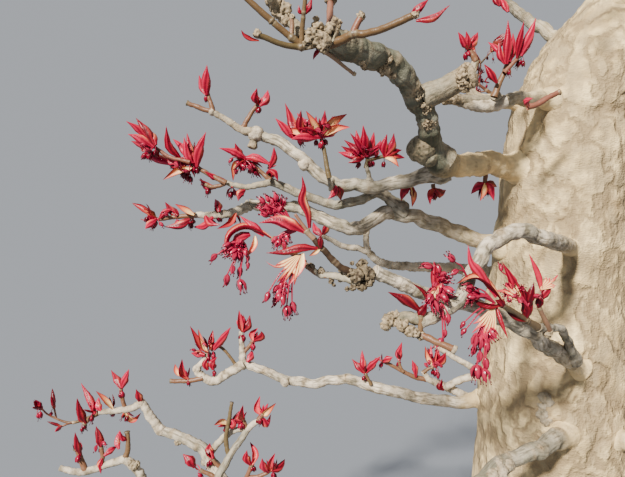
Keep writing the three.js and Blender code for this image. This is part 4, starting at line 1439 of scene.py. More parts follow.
GROUPS = {
    "seen": list(SHOWN_BOUGHS),
    "low": ["right_low", "right_mid", "right_front", "front_low", "back_low", "back_right"],
    "high": [
        "back_left", "top_left", "top_front", "top_right",
        "crown_back", "crown_left", "crown_right", "trunk",
    ],
}
KINDS = ("twigs", "leaves", "blossom")
for group, names in GROUPS.items():
    heaps = heap(), heap(), heap()
    nodes = []
    for spray in sprays:
        if spray["limb"] in names:
            nodes.append(spray["node"])
            if not spray.get("bare"):
                grow_spray(spray)
                dress(spray, heaps, SPARE.get(spray["limb"], FINER[group]))
    for pile, kind, paint_of_kind in zip(heaps, KINDS, (twig_paint, leaf_paint, blossom_paint)):
        mesh_of(pile, f"{group}_{kind}", paint_of_kind, nodes)


# The sprays nearest to the camera, laid out one by one as they show: corky spurs, the twigs of
# one year with a ringed joint at each pair of buds, leaves folded in ribs that part to show
# their yellow inner side, and bunches of ribbed flowers on pink stalks. A place is a column
# and a row of the picture and a depth from the camera in mm, and sizes are mm.
NEAR_SIDES, NEAR_STEP = 10, 0.5
TOWARD = unit(np.array((0.15, -1.0, 0.35)))  # the side of a leaf that is turned to the light
DARK, RED, PINK = 0.04, 0.6, 0.95  # tints
JOINT_SWELL = (0.22, 0.5)  # of the radius: everywhere, and unevenly
JOINT_HALF = 1.1  # half the length of the swelling at a joint
JOINT_RING = (0.9, 0.45)  # its pale ring: how far from the joint, and half as wide
JOINT_LUMPS = 0.7  # breadth in mm of the unevenness of a joint,
SIDE_LUMPS = 1.7  # of that of a twig's sides,
STRAY = 4  # and of the bends in its course
NEAR_SHIFTS = (0, 31, 67)  # noise read at three places strays along x, y and z
GOLDEN_TURN = 2.4  # from one flower or crumb of a bunch to the next, in radians

near_cork, near_burrs, near_twigs, near_leaves, near_blossom = [heap() for _ in range(5)]


def course_of(places):
    return np.array([seen(*place) for place in places])


barks = {}  # where each bough's line shows, and its radius there
for name, made in list(limbs.items())[1:]:
    line, _, share = fine_line(made["bends"], 1)
    barks[name] = np.array([shown(point) for point in line]), slender_radii(made, share)


def on_bark(name, column, row, sunk):
    """The place on the near side of a limb that shows at this column and row."""
    views, radii = barks[name]
    aside = np.hypot(views[:, 0] - column, views[:, 1] - row)
    k = int(np.argmin(aside))
    apart = aside[k] * views[k, 2] / FOCAL_PIXELS
    return column, row, views[k, 2] - math.sqrt(max(radii[k] ** 2 - apart**2, 0)) + sunk


def near_tube(pile, places, radii, tint, pale, wrinkle=0.05, joints=()):
    """A twig or spur along its places, swollen at its joints, which are counted along them."""
    line, at, where, size = twig_line(course_of(places), radii, NEAR_STEP)
    swell, ringed = np.zeros(len(line)), np.zeros(len(line))
    for joint in joints:
        far = np.abs(at - np.interp(joint, where, at))
        swell = np.maximum(swell, np.exp(-((far / JOINT_HALF) ** 2)))
        ringed = np.maximum(ringed, np.exp(-(((far - JOINT_RING[0]) / JOINT_RING[1]) ** 2)))
    lumps = np.array([rough(point, JOINT_LUMPS) for point in line])
    size = size * (1 + (JOINT_SWELL[0] + JOINT_SWELL[1] * lumps) * swell)
    stray = np.array([[rough(point + shift, STRAY) for shift in NEAR_SHIFTS] for point in line])
    line = line + wrinkle * 2 * stray
    angles = 2 * math.pi * np.arange(NEAR_SIDES) / NEAR_SIDES
    sides = np.array((np.cos(angles), np.sin(angles), 0 * angles)).T
    bark = zip(line, size)
    grain = np.array([[rough(p + r * side, SIDE_LUMPS) for side in sides] for p, r in bark])
    size = size[:, None] * (1 + wrinkle * 2 * grain)
    tints = tint * (1 - 0.75 * swell) if pile is near_twigs else tint
    tube(pile, line, size, NEAR_SIDES, tints, np.clip(pale + 0.3 * ringed, 0, 1))


def near_twig(*shape, joints=()):
    """Of this year or the last: its places, radii, tint, paleness and unevenness."""
    near_tube(near_twigs, *shape, joints=joints)


def near_spur(*shape):
    """Of older wood: its places, radii, how corky and bleached it is, and unevenness."""
    near_tube(near_cork, *shape)


# Every burr starts from a round ball
bpy.ops.mesh.primitive_ico_sphere_add(subdivisions=4, radius=1)
ball = bpy.context.object
ball_points = np.array([tuple(vertex.co) for vertex in ball.data.vertices])
ball_faces = [tuple(face.vertices) for face in ball.data.polygons]
bpy.data.objects.remove(ball, do_unlink=True)


def burr(place, size, roughness=0.42, corky=0.8, bleached=0.1):
    """A lump of crumbled cork, or with less roughness the swelling over an old cut. On a rough
    one, painted shade darkens the hollows between the lumps.
    """
    middle = seen(*place)
    shape, sunk = [], []
    for point in ball_points:
        there = middle + point * size
        lump = rough(there, size * 0.9) + 0.7 * rough(there, size * 0.4) + 0.5 * rough(there, 0.6)
        shape.append(there + point * size * roughness * lump)
        # How deep a point lies in a hollow between the lumps, for painted shade there
        sunk.append(max(0.0, -0.05 - lump) * (roughness > 0.3))
    cork = [min(1.0, max(0.0, corky + 0.5 * rough(there, 0.9))) for there in shape]
    put(near_burrs, np.array(shape), ball_faces, np.array(cork), bleached - 2.2 * np.array(sunk))


def burrs(rows, *look):
    """Each row has a burr's place and size."""
    for *place, size in rows:
        burr(place, size, *look)


def crumbs(name, middle, reach, count, size, corky=0.9):
    """Crumbled cork over a patch of a limb."""
    for k in range(count):
        turn, out = GOLDEN_TURN * k, math.sqrt((k + 0.5) / count)
        column = middle[0] + reach[0] * out * math.cos(turn)
        row = middle[1] + reach[1] * out * math.sin(turn)
        one = size * (0.75 + 0.5 * abs(math.sin(1.9 * k)))
        burr(on_bark(name, column, row, 0.3 * size), one, 0.42, corky)


LEAF_RINGS = 16  # along a near leaf
# Shares of a leaf's length, and its width there as shares of the widest
SPEAR_PROFILE = ((0, 0.1, 0.3, 0.5, 0.7, 0.88, 1), (0.36, 0.5, 0.92, 1, 0.64, 0.25, 0.03))
BLADE_PROFILE = ((0, 0.12, 0.4, 0.62, 0.85, 1), (0.25, 0.5, 1, 0.85, 0.38, 0.03))
SPEAR_SIDES, SPEAR_RIBS = 20, 5
SPEAR_LUMPS = (0.2, 2.6)  # how uneven its width is, and over what breadth in mm
SPEAR_THICK = 0.66  # its thickness, as a share of its width
SPEAR_TWIST = 1.1  # radians from foot to tip
RIB = 0.12  # height of its ribs, as a share of its radius
SLIT = (0.5, 0.2)  # where it parts: share of its length, and half the angle round it
SLIT_SIZE = 0.24


def leaf_line(places):
    """A near leaf's smooth line, and the share of its length at each point."""
    course = course_of(places)
    line = smooth_line(course, round(LEAF_RINGS / (len(course) - 1)))
    return line, np.linspace(0, 1, len(line))


def near_spear(places, width, tint=RED, slit=0.0):
    """A leaf still rolled in its ribs: a spindle that parts along the side that shows."""
    line, t = leaf_line(places)
    size = np.interp(t, *SPEAR_PROFILE) * width / 2
    size = size * (1 + SPEAR_LUMPS[0] * np.array([rough(point, SPEAR_LUMPS[1]) for point in line]))
    _, across, beside = rings_along(line, sideways=TOWARD)
    angles = 2 * math.pi * np.arange(SPEAR_SIDES) / SPEAR_SIDES
    rib = (1 + RIB * np.cos(SPEAR_RIBS * angles))[None, :]
    twist = (angles[None, :] + (SPEAR_TWIST * t)[:, None])[:, :, None]
    out = across[:, None] * SPEAR_THICK * np.cos(twist) + beside[:, None] * np.sin(twist)
    points = line[:, None] + out * (size[:, None] * rib)[:, :, None]
    parted = np.exp(-(((t - SLIT[0]) / SLIT_SIZE) ** 2))[:, None]
    parted = parted * np.exp(-((np.sin(angles / 2 - SLIT[1]) / SLIT_SIZE) ** 2))[None, :]
    # Painted light along the ribs: their crests are paler and brighter red, a painted highlight, and the
    # grooves between them darker, painted shade. The tint also rises towards the tip, and the slit shows the
    # yellow inner side.
    on_rib = (rib - (1 - RIB)) / (2 * RIB)
    pale = 0.09 * on_rib * (1 - 0.6 * t[:, None]) + slit * parted
    tints = np.clip(tint + 0.3 * (rib - 1) / RIB + 0.12 * (t[:, None] - 0.5), 0, 1)
    count = len(line) * SPEAR_SIDES
    faces = [*skin(len(line), SPEAR_SIDES), tuple(range(count - SPEAR_SIDES, count))]
    put(near_leaves, points.reshape(-1, 3), faces, tints.ravel(), np.clip(pale, 0, 1).ravel())


BLADE_COLUMNS = 9
BLADE_BEND = 0.75  # of half a turn, from the rib to an edge of a blade that is shut
BLADE_THICK = 0.09  # its thickness, as a share of half its width


def near_blade(places, width, tint, fold, inner, face=TOWARD):
    """A leaf opening like a trough along its course: red outside, yellow within."""
    line, t = leaf_line(places)
    size = (np.interp(t, *BLADE_PROFILE) * width / 2)[:, None, None]
    _, across, beside = rings_along(line, sideways=face)
    s = np.linspace(-1, 1, BLADE_COLUMNS)
    bend = fold * math.pi * BLADE_BEND
    reach = (np.sin(bend * s) / max(bend, 0.1))[None, :, None]
    lift = (1 - np.cos(bend * s)) / max(bend, 0.1) + 0.05 * np.cos(4 * math.pi * s)
    fade = (1 - np.abs(s[None, :]) ** 3 * 0.8) * np.clip(1.15 - t[:, None], 0, 1)
    layers, pales = [], []
    for layer, pale in ((0, 0.08), (1, inner)):
        height = (lift + layer * BLADE_THICK)[None, :, None]
        out = beside[:, None] * reach * (1 - 0.06 * layer) + across[:, None] * height
        layers.append((line[:, None] + size * out).reshape(-1, 3))
        pales.append((pale * fade).ravel())
    count = len(line) * BLADE_COLUMNS
    faces = []
    for a, b, c, d in strip(len(line), BLADE_COLUMNS):
        faces += [(a, d, c, b), (count + a, count + b, count + c, count + d)]
    for a in range(0, count - BLADE_COLUMNS, BLADE_COLUMNS):
        for edge in (a, a + BLADE_COLUMNS - 1):
            beyond = edge + BLADE_COLUMNS
            faces.append((edge, edge + count, beyond + count, beyond))
    put(near_leaves, np.concatenate(layers), faces, tint, np.concatenate(pales))


WEB_ROWS = (0.04, 0.16, 0.32, 0.48, 0.6)  # along a fan, as far as its fingers are joined
FINGER_ROWS = (0.3, 0.6, 0.85, 1.0)  # from there to a finger's point
PLEAT = 0.3
WEB_PLEAT, FINGER_PLEAT = 0.22, 0.08  # shares of it in the web and on the fingers
FAN_ARCH = 0.12  # height of the web's arch, as a share of the fan's length
OUTER_SHORTER, UNEVEN_FINGERS = 0.25, 0.2  # shares of a finger's length
FINGER_STRAY = 0.3  # radians that a finger's point strays to one side


def near_fan(foot, toward, spread, curl, fingers=7, tint=RED):
    """A half open leaf: pleats spread from the stalk, yellow on the ribs, and part into
    pointed fingers that curl."""
    start, end = seen(*foot), seen(*toward)
    length = np.linalg.norm(end - start)
    columns = 2 * fingers + 1
    angles = np.linspace(-spread, spread, columns)
    points, pale = [], []

    def point_at(reach, angle, height):
        points.append((reach * length * math.sin(angle), reach * length * math.cos(angle), height))

    for reach in WEB_ROWS:
        for k, angle in enumerate(angles):
            ridge = 1 if k % 2 else -1
            arch = FAN_ARCH * length * math.sin(math.pi * reach)
            point_at(reach, angle, ridge * PLEAT * reach * length * WEB_PLEAT + arch)
            pale.append((1.0 if ridge > 0 else 0.35) * (1 - 0.35 * reach))
    faces = strip(len(WEB_ROWS), columns)
    for finger in range(fingers):
        side = 2 * (finger + 0.5) / fingers - 1
        uneven_by = UNEVEN_FINGERS * math.sin(4.1 * finger + start[0])
        tall = 1 - OUTER_SHORTER * abs(side) ** 1.5 + uneven_by
        first = (len(WEB_ROWS) - 1) * columns + 2 * finger
        for step in FINGER_ROWS:
            reach = mix(WEB_ROWS[-1], tall, step)
            stray = FINGER_STRAY * step * math.sin(2.7 * finger + start[2])
            middle = angles[2 * finger + 1] + curl * step * (0.35 * step * side + stray)
            fall = FAN_ARCH * length - curl * length * 0.5 * (reach - WEB_ROWS[-1]) ** 1.5
            new = len(points)
            for place, ridge in ((-1, -0.4), (0, 1), (1, -0.4)):
                angle = middle + place * spread / fingers * (1 - step) ** 0.7
                point_at(reach, angle, fall + ridge * PLEAT * length * FINGER_PLEAT * (1 - step))
                pale.append((0.8 if ridge > 0 else 0.2) * (1 - step))
            for k in (0, 1):
                faces.append((first + k, first + k + 1, new + k + 1, new + k))
            first = new
    put(near_leaves, laid(np.array(points), start, end - start, TOWARD), faces, tint, np.array(pale))


def petal(length, width, out):
    """A spoon along +Y, bulging towards +Z by out."""
    rows = zip(
        (0, 0.2, 0.5, 0.8, 1.0),
        np.array((0.3, 0.8, 1.0, 0.72, 0.16)) * width / 2,
        np.array((0.15, 0.8, 1.0, 0.72, 0.2)) * out,
    )
    points = [(s * w, y * length, z - 0.175 * abs(s) * out) for y, w, z in rows for s in (-1, 0, 1)]
    # The middle of the petal is paler: a painted highlight along its rib.
    return np.array(points), strip(5, 3), np.tile((0.0, 0.4, 0.0), 5)


RIBS = 5  # of a flower, one to each petal
OWN_WAY = (0.35, 1.3, (0, 9, 17))  # how far its way strays: noise, its breadth and shifts
STALK_ARCH = 0.12  # how far a stalk arches, as a share of its length
STALK = (0.42, 0.7)  # its radius, and the share of that at the flower
CORE = (0.95, 0.5)  # length and width of a flower's dark middle, as shares of its size
PETAL = (1.08, 0.46, 0.33)  # length, width and bulge of a petal, as shares of it
OPEN_PETAL = (0.35, -0.1)  # what the first two gain when it is wide open
SHUT_STAMENS = 3  # that show at the mouth of a closed flower
FILAMENT = (0.13, 0.12)  # radii
ANTHER = (0.9, 0.75)  # length and width


def flower_stalk(start, foot, way):
    """A pink stalk, which arches upwards."""
    arch = STALK_ARCH * np.linalg.norm(foot - start) * unit(UP - way * 0.4)
    line = smooth_line(np.array([start, mix(start, foot, 0.55) + arch, foot]), 5)
    radii = np.linspace(STALK[0], STALK[0] * STALK[1], len(line))
    tube(near_blossom, line, radii, 6, 0.8, 0.2, closed_tip=False)


def stamen(foot, way, side, size, past):
    """A thread with a dark head, which reaches this far past the petals."""
    tip = foot + unit(way + side * 0.25) * size * (1.1 + past)
    tube(near_blossom, [mix(foot, tip, 0.6), tip], FILAMENT, 4, 0.9, 0.8)
    anther, faces, _ = pod(*ANTHER, 0)
    put(near_blossom, laid(anther, tip, tip - foot, square_to(way)), faces, DARK, 0.0)


def near_flower(stem, place, size, way, opened=0.0, tint=RED):
    """A flower with its stalk: a closed one shows five ribs, an open one its stamens."""
    start, foot = seen(*stem), seen(*place)
    strayed, breadth, shifts = OWN_WAY
    stray = np.array([rough(foot + shift, breadth) for shift in shifts])
    way = unit(np.array(way, dtype=float) + strayed * stray)
    foot = foot - way * size / 2
    flower_stalk(start, foot, way)
    across = square_to(way)
    core, faces, _ = pod(size * CORE[0], size * CORE[1], 0, sides=8)
    put(near_blossom, laid(core, foot, way, across), faces, DARK, 0.0)
    for k in range(RIBS):
        side = spun(across, way, 2 * math.pi * k / RIBS + rough(foot, 1.7))
        lean = unit(way + side * opened * (0.8 + 0.3 * math.sin(k * 2.1)))
        own = 0.14 * math.sin(5.1 * k + 9 * rough(foot, 2))
        length = size * (PETAL[0] + OPEN_PETAL[0] * opened + own)
        width = size * (PETAL[1] + OPEN_PETAL[1] * opened)
        shape, faces, pale = petal(length, width, size * PETAL[2])
        top = unit(side - lean * np.dot(side, lean))
        put(near_blossom, laid(shape, foot, lean, top), faces, tint + 0.2 * math.sin(3.3 * k), pale)
    for k in range(RIBS if opened else SHUT_STAMENS):
        side = spun(across, way, 2 * math.pi * (k + 0.5) / RIBS)
        stamen(foot, way, side, size, 0.25 if opened else 0.15 * math.sin(k * 1.9))


def flowers_on(stem, *rows):
    """Each row has a flower's place, length, way and, if it has opened, how far."""
    for row in rows:
        near_flower(stem, *row)


BUNCH_DEPTH = 3.5  # mm that a bunch reaches towards the camera and away from it


def cluster(stem, middle, reach, count, size, way, tint=RED):
    """A crowded bunch of flowers about a middle, each on its stalk from the one stem."""
    for k in range(count):
        turn, out = GOLDEN_TURN * k, math.sqrt((k + 0.5) / count)
        place = np.array(middle) + (
            reach[0] * out * math.cos(turn),
            reach[1] * out * math.sin(turn),
            BUNCH_DEPTH * math.sin(3.1 * k),
        )
        lean = np.array(way) + (0.6 * math.cos(turn), 0.4 * math.sin(3.1 * k), -0.6 * math.sin(turn))
        one = size * (0.85 + 0.3 * abs(math.sin(1.7 * k)))
        near_flower(stem, place, one, lean, 0.3 if k % 4 == 1 else 0, tint - 0.2 * (k % 3 == 0))


# Upper spray: a crumbled knot at the bough's tip, four one-year twigs and an old stub
burrs((
    (322, 40, 232, 3.7), (313, 35, 231, 2.9), (318, 27, 232, 2.5), (331, 31, 233, 3.0),
    (336, 24, 237, 2.3), (308, 43, 231, 2.1), (316, 19, 232, 1.3), (323, 48, 232, 2.2),
    (257, 34, 227, 1.6), (361, 16, 228, 1.7), (416, 14, 218, 1.5), (292, 17, 231, 1.1),
    (288, 20, 240, 2.9), (281, 11, 241, 3.8), (274, 3, 240, 3.2), (331, 0, 250, 2.4), (354, 74, 247, 1.0),
))
near_twig(
    [(318, 44, 233), (301, 47, 232), (281, 44, 230), (264, 37, 228), (257, 35, 227)],
    [1.6, 1.35, 1.25, 1.2, 1.2], 0.3, 0.05, joints=(1,),
)
near_twig(
    [(303, 46, 233), (292, 38, 232), (282, 30, 231), (273, 22, 230), (256, 7, 228), (244, -4, 227)],
    [1.5, 1.45, 1.4, 1.4, 1.35, 1.2], 0.42, 0.05, joints=(1, 3),
)
near_twig(
    [(301.5, 46, 232), (302, 30, 230), (303.6, 14, 227), (305, 0, 225), (305, -15, 223)],
    [1.15, 1.0, 0.95, 0.85, 0.8], 0.4, 0.1, joints=(2,),
)
near_twig(
    [(326, 45, 236), (342, 40, 232), (354, 34, 229), (364, 34, 228), (385, 28, 223), (412, 16, 218)],
    [2.3, 1.9, 1.75, 1.6, 1.5, 1.45], 0.45, 0.05, joints=(2,),
)
near_twig([(291, 38, 232), (292, 27, 231.5), (291.5, 18, 231)], [1.1, 0.95, 0.95], 0.8, 0.3)
near_twig([(353, 36, 229), (355, 28, 228.5), (361, 17, 228)], [1.6, 1.4, 1.4], 0.9, 0.1)
near_twig(
    [(322, 50, 235), (335, 59, 239), (346, 68, 243), (354, 74, 247)], [0.95, 0.85, 0.75, 0.75], 0.7, 0.35,
)
near_twig([(330, 28, 243), (330, 12, 247), (331, 0, 250)], [1.7, 1.5, 1.5], 1.0, 0.2)
near_spur(
    [(303, 36, 236), (292, 22, 240), (281, 11, 241), (269, -4, 233)], [2.4, 2.3, 2.3, 1.6], 0.5, 0.0, 0.2,
)
near_blade([(259, 41, 227), (250, 40, 226), (244, 36, 225.5), (241, 30, 225)], 3.2, RED, 0.7, 0.2)
near_spear([(302, 14, 227), (299.5, 11, 226.5), (298.5, 5, 226)], 1.7)
near_spear([(305.5, 14, 227), (309, 7, 226), (312.5, -3, 225)], 2.4)
near_spear([(412, 14, 218), (419, 8, 217), (429, -1, 216)], 3.1)
near_spear([(416, 21, 218), (433, 18, 217), (450, 5, 215.5)], 2.9, slit=0.3)
near_spear([(320, 50, 236), (316, 53, 237), (313, 60, 238)], 2.2)

# Left spray: a gnarled spur that carries two twigs, the nearer with two pairs of leaves
LEFT_STEMS = {"up": (296, 231, 227), "fan": (293, 262, 226), "far": (246, 246, 240)}
burrs((
    (366, 274, 232, 3.5), (358, 277, 230, 3.0), (351, 273, 230, 2.0), (361, 264, 233, 2.1),
    (361, 285, 231, 2.1), (353, 287, 231, 1.4), (347, 289, 231, 1.0), (352, 263, 232, 0.9),
    (369, 282, 232, 2.0), (342, 269, 230, 1.6), (321, 273, 236, 1.9), (311, 267, 237, 1.7),
    (304, 262, 238, 1.2), (331, 281, 235, 1.3), (334, 285, 235, 0.8), (340, 279, 234, 1.4),
), 0.45, 0.7, -0.5)
near_twig(
    [(356, 275, 231), (346, 270, 229.5), (335, 262, 228), (321, 247, 226)], [1.9, 1.6, 1.3, 1.3], 0.0,
    0.0, 0.14, joints=(2, 3),
)
near_twig([(322, 248, 226), (317, 243, 225.7), (313.5, 238.5, 225.4)], [1.3, 1.25, 1.2], 0.0, 0.0, 0.1)
near_twig(
    [(314, 239, 225.4), (309, 234, 225.2), (306, 230, 225)], [1.2, 1.15, 1.2], 0.8, 0.35, joints=(2,),
)
near_twig([(307, 231, 225), (300, 221, 224.5), (295, 214, 224)], [0.8, 0.65, 0.6], 0.9, 0.2)
near_twig(
    [
        (356, 281, 231), (340, 277, 233), (321, 275, 236), (311, 269, 237), (301, 261, 238),
        (285, 247, 240), (272, 238, 241),
    ],
    [1.7, 1.35, 1.4, 1.35, 1.25, 1.15, 1.1], 0.7, 0.25, 0.1, joints=(6,),
)
near_spur(
    [(357, 281, 231), (340, 277, 233), (321, 275, 236), (313, 270.5, 237)], [1.9, 1.55, 1.5, 1.4], 0.1,
    0.45, 0.2,
)
near_spear(
    [(309.5, 228, 225), (308, 214, 224.6), (302.5, 200, 224), (304, 188, 223), (302, 176, 222)], 3.4, 0.5,
    0.9,
)
near_spear([(305, 232, 225), (292, 225, 224), (277, 220, 223.5), (259, 223, 222)], 4.9, 0.7, 0.95)
near_spear([(321, 248, 224.5), (320.5, 241, 224), (320, 235, 223.5)], 2.6, DARK)
near_spear([(318, 248.5, 225), (302, 248, 224.5), (284, 252, 224), (266, 253, 223)], 3.4, 0.45, 0.2)
near_blade([(320, 249, 225), (315, 253, 224), (309, 256, 223.5)], 2.6, DARK, 0.6, 0.9)
near_fan((302, 253, 226), (279, 281, 224), 0.5, curl=0.9)
near_blade([(303, 253, 225), (300, 267, 224), (289, 285, 223)], 4.0, PINK, 0.35, 1.0)
near_spear([(264, 236, 241), (253, 226, 241), (240, 216, 241)], 3.4, PINK)
near_blade(
    [
        (273, 240, 241), (258, 232, 240), (244, 229, 239), (232, 235, 238), (228, 246, 238),
        (232, 258, 238),
    ],
    7.0, RED, 0.55, 1.0, face=unit(np.array((0.15, -0.08, 1.0))),
)
near_blade([(255, 236, 240), (254, 246, 239), (245, 258, 239)], 3.8, PINK, 0.6, 0.8)
near_spear([(250, 234, 241), (238, 239, 240), (229, 250, 240)], 4.6, PINK, 0.2)
cluster(LEFT_STEMS["up"], (272, 206, 228), (12, 11), 15, 3.1, (-0.3, -0.3, 0.9), PINK)
cluster(LEFT_STEMS["up"], (281, 240, 228), (7, 7), 6, 3.0, (-0.2, 0, -1), PINK)
cluster(LEFT_STEMS["far"], (237, 249, 238), (11, 9), 13, 3.4, (-0.4, -0.8, -0.6), PINK)
cluster(LEFT_STEMS["fan"], (281, 289, 226), (6, 8), 7, 3.2, (0, -0.2, -1), PINK)
flowers_on(
    LEFT_STEMS["fan"],
    ((267.5, 296, 223), 3.7, (-0.3, 0, -1)), ((275, 301, 228), 3.3, (0, 0, -1)),
    ((280, 290, 226), 3.4, (-0.2, -0.2, -1)), ((283, 299, 222), 3.8, (0.1, -0.3, -1)),
    ((287, 310, 224), 4.2, (-0.1, 0, -1), 0.28), ((293, 306, 226), 4.0, (0.2, 0, -1), 0.1),
)
flowers_on(
    LEFT_STEMS["far"],
    ((214, 257, 238), 4.0, (-0.7, 0, -0.5)), ((225, 251, 239), 3.2, (-0.8, 0, -0.3)),
    ((248, 258, 242), 2.7, (0, 0, -1)), ((248, 265, 240), 2.7, (0.1, 0, -1)),
    ((227, 279, 238), 4.4, (-0.2, 0, -1)), ((240, 271, 240), 4.0, (0, 0, -1)),
    ((241, 284, 238), 4.6, (0.1, 0, -1), 0.3), ((233, 269, 237), 3.4, (-0.2, -0.5, -1)),
)

# Right spray: a spur of corky lumps that ends in a dead twig, with one leaf bud open above it
SPUR_STEMS = {"bud": (431, 298, 231), "low": (440, 302, 230), "right": (468, 279, 236)}
burrs((
    (389, 320, 231, 3.0), (386, 326, 230, 2.0), (395, 316, 232, 2.2), (402.5, 326, 230, 2.5),
    (411, 331, 230, 2.6), (420, 335, 231, 1.9), (397, 323, 230, 1.8), (416, 333, 229, 1.6),
))
near_spur([(424, 321, 232), (410, 317, 232), (396, 318, 232)], [2.9, 2.4, 2.0], 0.35, 0.0, 0.15)
near_twig(
    [(418, 334, 231), (426, 337, 230), (437, 342, 228), (456, 350, 226)], [1.6, 1.5, 1.45, 1.5], 0.7, 0.1,
    0.08,
)
near_spur(
    [(452.5, 348.3, 226.1), (454.5, 349.3, 226), (456.4, 350.2, 225.9)], [1.65, 1.8, 1.6], 0.6, 0.5, 0.1,
)
near_twig([(455.5, 349.8, 226), (456.8, 350.4, 225.8)], [0.75, 0.7], 0.0, 0.0)
near_twig(
    [(420, 334, 231), (420.5, 324, 230), (420.6, 315, 230)], [1.3, 1.0, 1.15], 0.5, 0.15, 0.06,
    joints=(2,),
)
near_spear([(420.5, 318, 230), (422.5, 311, 230), (427, 303, 230)], 4.4, DARK)
near_spear([(420, 311, 230), (406, 300, 229), (388, 292, 228)], 4.2, DARK, 0.35)
near_blade([(427, 303, 231), (423, 292, 231), (412, 283, 231)], 2.9, DARK, 0.7, 0.1)
near_blade([(429, 301, 230), (435, 292, 229), (442, 283, 229)], 4.8, PINK, 0.35, 1.0)
near_spear([(437, 296, 231), (435, 277, 231), (434, 261, 231)], 3.9, RED, 0.3)
flowers_on(
    SPUR_STEMS["bud"],
    ((428, 266, 230), 4.6, (-1, -0.2, 0.1)), ((439, 270, 232), 3.7, (-0.2, 0, 1)),
    ((448, 289, 229), 4.0, (0.5, -0.5, -0.2)), ((444, 297, 228), 4.4, (0.2, -0.7, -0.5)),
    ((430, 298, 226), 4.8, (-0.5, -0.7, -0.4), 0.1), ((435, 305, 226), 4.2, (0, -0.3, -1), 0.3),
    ((441, 308, 231), 3.5, (0.3, 0, -1)), ((442, 279, 229), 3.4, (0.4, -0.6, 0.5)),
)
flowers_on(
    SPUR_STEMS["right"],
    ((452, 259, 231), 3.8, (-0.8, 0, 0.7), 0.15), ((455, 272, 230), 3.8, (-0.6, -0.3, -0.3)),
)
flowers_on(
    SPUR_STEMS["low"],
    ((448, 318, 229), 4.0, (0.2, 0, -1)), ((445, 333, 228), 3.2, (-0.1, 0, -1)),
    ((440, 342, 228), 4.2, (-0.6, 0, -1), 0.1), ((442, 312, 230), 3.0, (0, -0.4, -1)),
)
cluster(SPUR_STEMS["bud"], (440, 286, 230), (8, 13), 11, 3.7, (0, -0.5, -0.2))

# Side spray: an olive twig in front of the bough, with a whole opened bud at each joint
SIDE_STEMS = {"first": (495, 303, 239), "fan": (489, 315, 238), "second": (528, 306, 248)}
near_twig(
    [(538, 327, 256), (526, 320, 251), (514, 312, 245), (502, 305, 240)], [1.9, 1.35, 1.2, 1.2], 0.1,
    0.12, joints=(1, 3),
)
near_twig(
    [(549, 331, 261), (547, 324, 257), (542, 314, 254), (539, 307, 252)], [1.6, 1.2, 1.05, 1.1], 0.75,
    0.25, joints=(3,),
)
burr((548, 333, 261), 2.2)
near_spear([(496, 297, 238), (481, 274, 236), (471, 262, 235.5), (468, 245, 235)], 3.8, PINK, 0.2)
near_blade(
    [(503, 303, 239), (489, 287, 236), (474, 278, 235), (456, 284, 234)], 6.2, DARK, 0.5, 1.0,
    face=unit(np.array((0.3, -0.45, 1.0))),
)
near_blade([(503, 305, 239), (489, 307, 238), (478, 304, 237), (473, 297, 237)], 4.2, DARK, 0.7, 0.1)
near_fan((494, 305, 239), (480, 338, 237), 0.46, curl=0.3, tint=PINK)
near_blade([(496, 306, 239), (499, 320, 237), (508, 339, 235)], 4.0, RED, 0.8, 0.1)
near_spear([(505, 306, 240), (501, 303, 239), (495, 300, 238)], 3.6, DARK)
near_blade([(527, 321, 250), (514, 318, 247), (504, 309, 245)], 3.8, DARK, 0.7, 0.1)
near_spear([(526, 320, 250), (526, 309, 249), (520, 292, 247)], 4.2, DARK)
near_spear([(524, 300, 248), (513, 281, 246), (502, 262, 244)], 4.0, RED, 0.1)
near_fan((523, 303, 248), (500, 283, 245), 0.42, fingers=5, curl=0.4, tint=PINK)
near_spear([(528, 304, 249), (525, 294, 247), (521, 284, 246)], 3.0, DARK)
near_spear([(530, 305, 249), (531, 294, 247), (534, 282, 246)], 4.2, DARK)
near_spear([(526, 318, 250), (529, 309, 250), (533, 299, 250)], 4.0, DARK)
near_blade([(541, 292, 251), (536, 274, 249), (529, 254, 248)], 4.8, PINK, 0.7, 0.2)
near_spear([(539, 308, 252), (540, 301, 251), (542, 290, 250)], 3.8, DARK)
near_fan((539, 290, 251), (556, 278, 249), 0.5, fingers=5, curl=0.5, tint=PINK)
near_spear([(541, 300, 251), (547, 291, 251), (552, 279, 251)], 3.2, RED)
flowers_on(
    SIDE_STEMS["first"],
    ((477, 297, 236), 4.0, (-0.8, -0.4, 0)), ((469, 287, 236), 4.4, (-0.8, -0.5, 0.2), 0.2),
    ((472, 297, 234), 3.7, (-0.9, -0.2, -0.1)), ((464, 331, 236), 3.1, (-0.6, 0, -0.9)),
    ((463, 324, 236), 2.9, (-0.6, 0, -0.6)), ((451, 296, 234), 3.5, (-1, 0, 0)),
)
flowers_on(
    SIDE_STEMS["fan"],
    ((475, 340, 235), 4.7, (-0.4, -0.2, -1), 0.1), ((487, 346, 236), 4.6, (0.1, 0, -1)),
    ((492, 332, 236), 4.4, (0.4, -0.4, -0.8), 0.2), ((474, 350, 237), 3.8, (-0.1, 0, -1)),
    ((480, 356, 236), 4.2, (0, -0.2, -1)), ((486, 363, 235), 4.7, (0.1, 0, -1)),
    ((477, 371, 236), 6.0, (0, 0, -1), 0.3), ((485, 374, 235), 5.0, (0.2, 0, -1), 0.3),
    ((481, 344, 239), 3.6, (0, 0.2, -1)),
)
flowers_on(
    SIDE_STEMS["second"],
    ((501, 268, 245), 3.2, (-0.2, 0, 1)), ((514, 296, 245), 3.6, (-0.8, -0.4, 0.1)),
    ((520, 300, 244), 3.4, (-0.2, -1, -0.2)), ((536, 296, 246), 3.6, (0.3, -1, 0.2)),
)
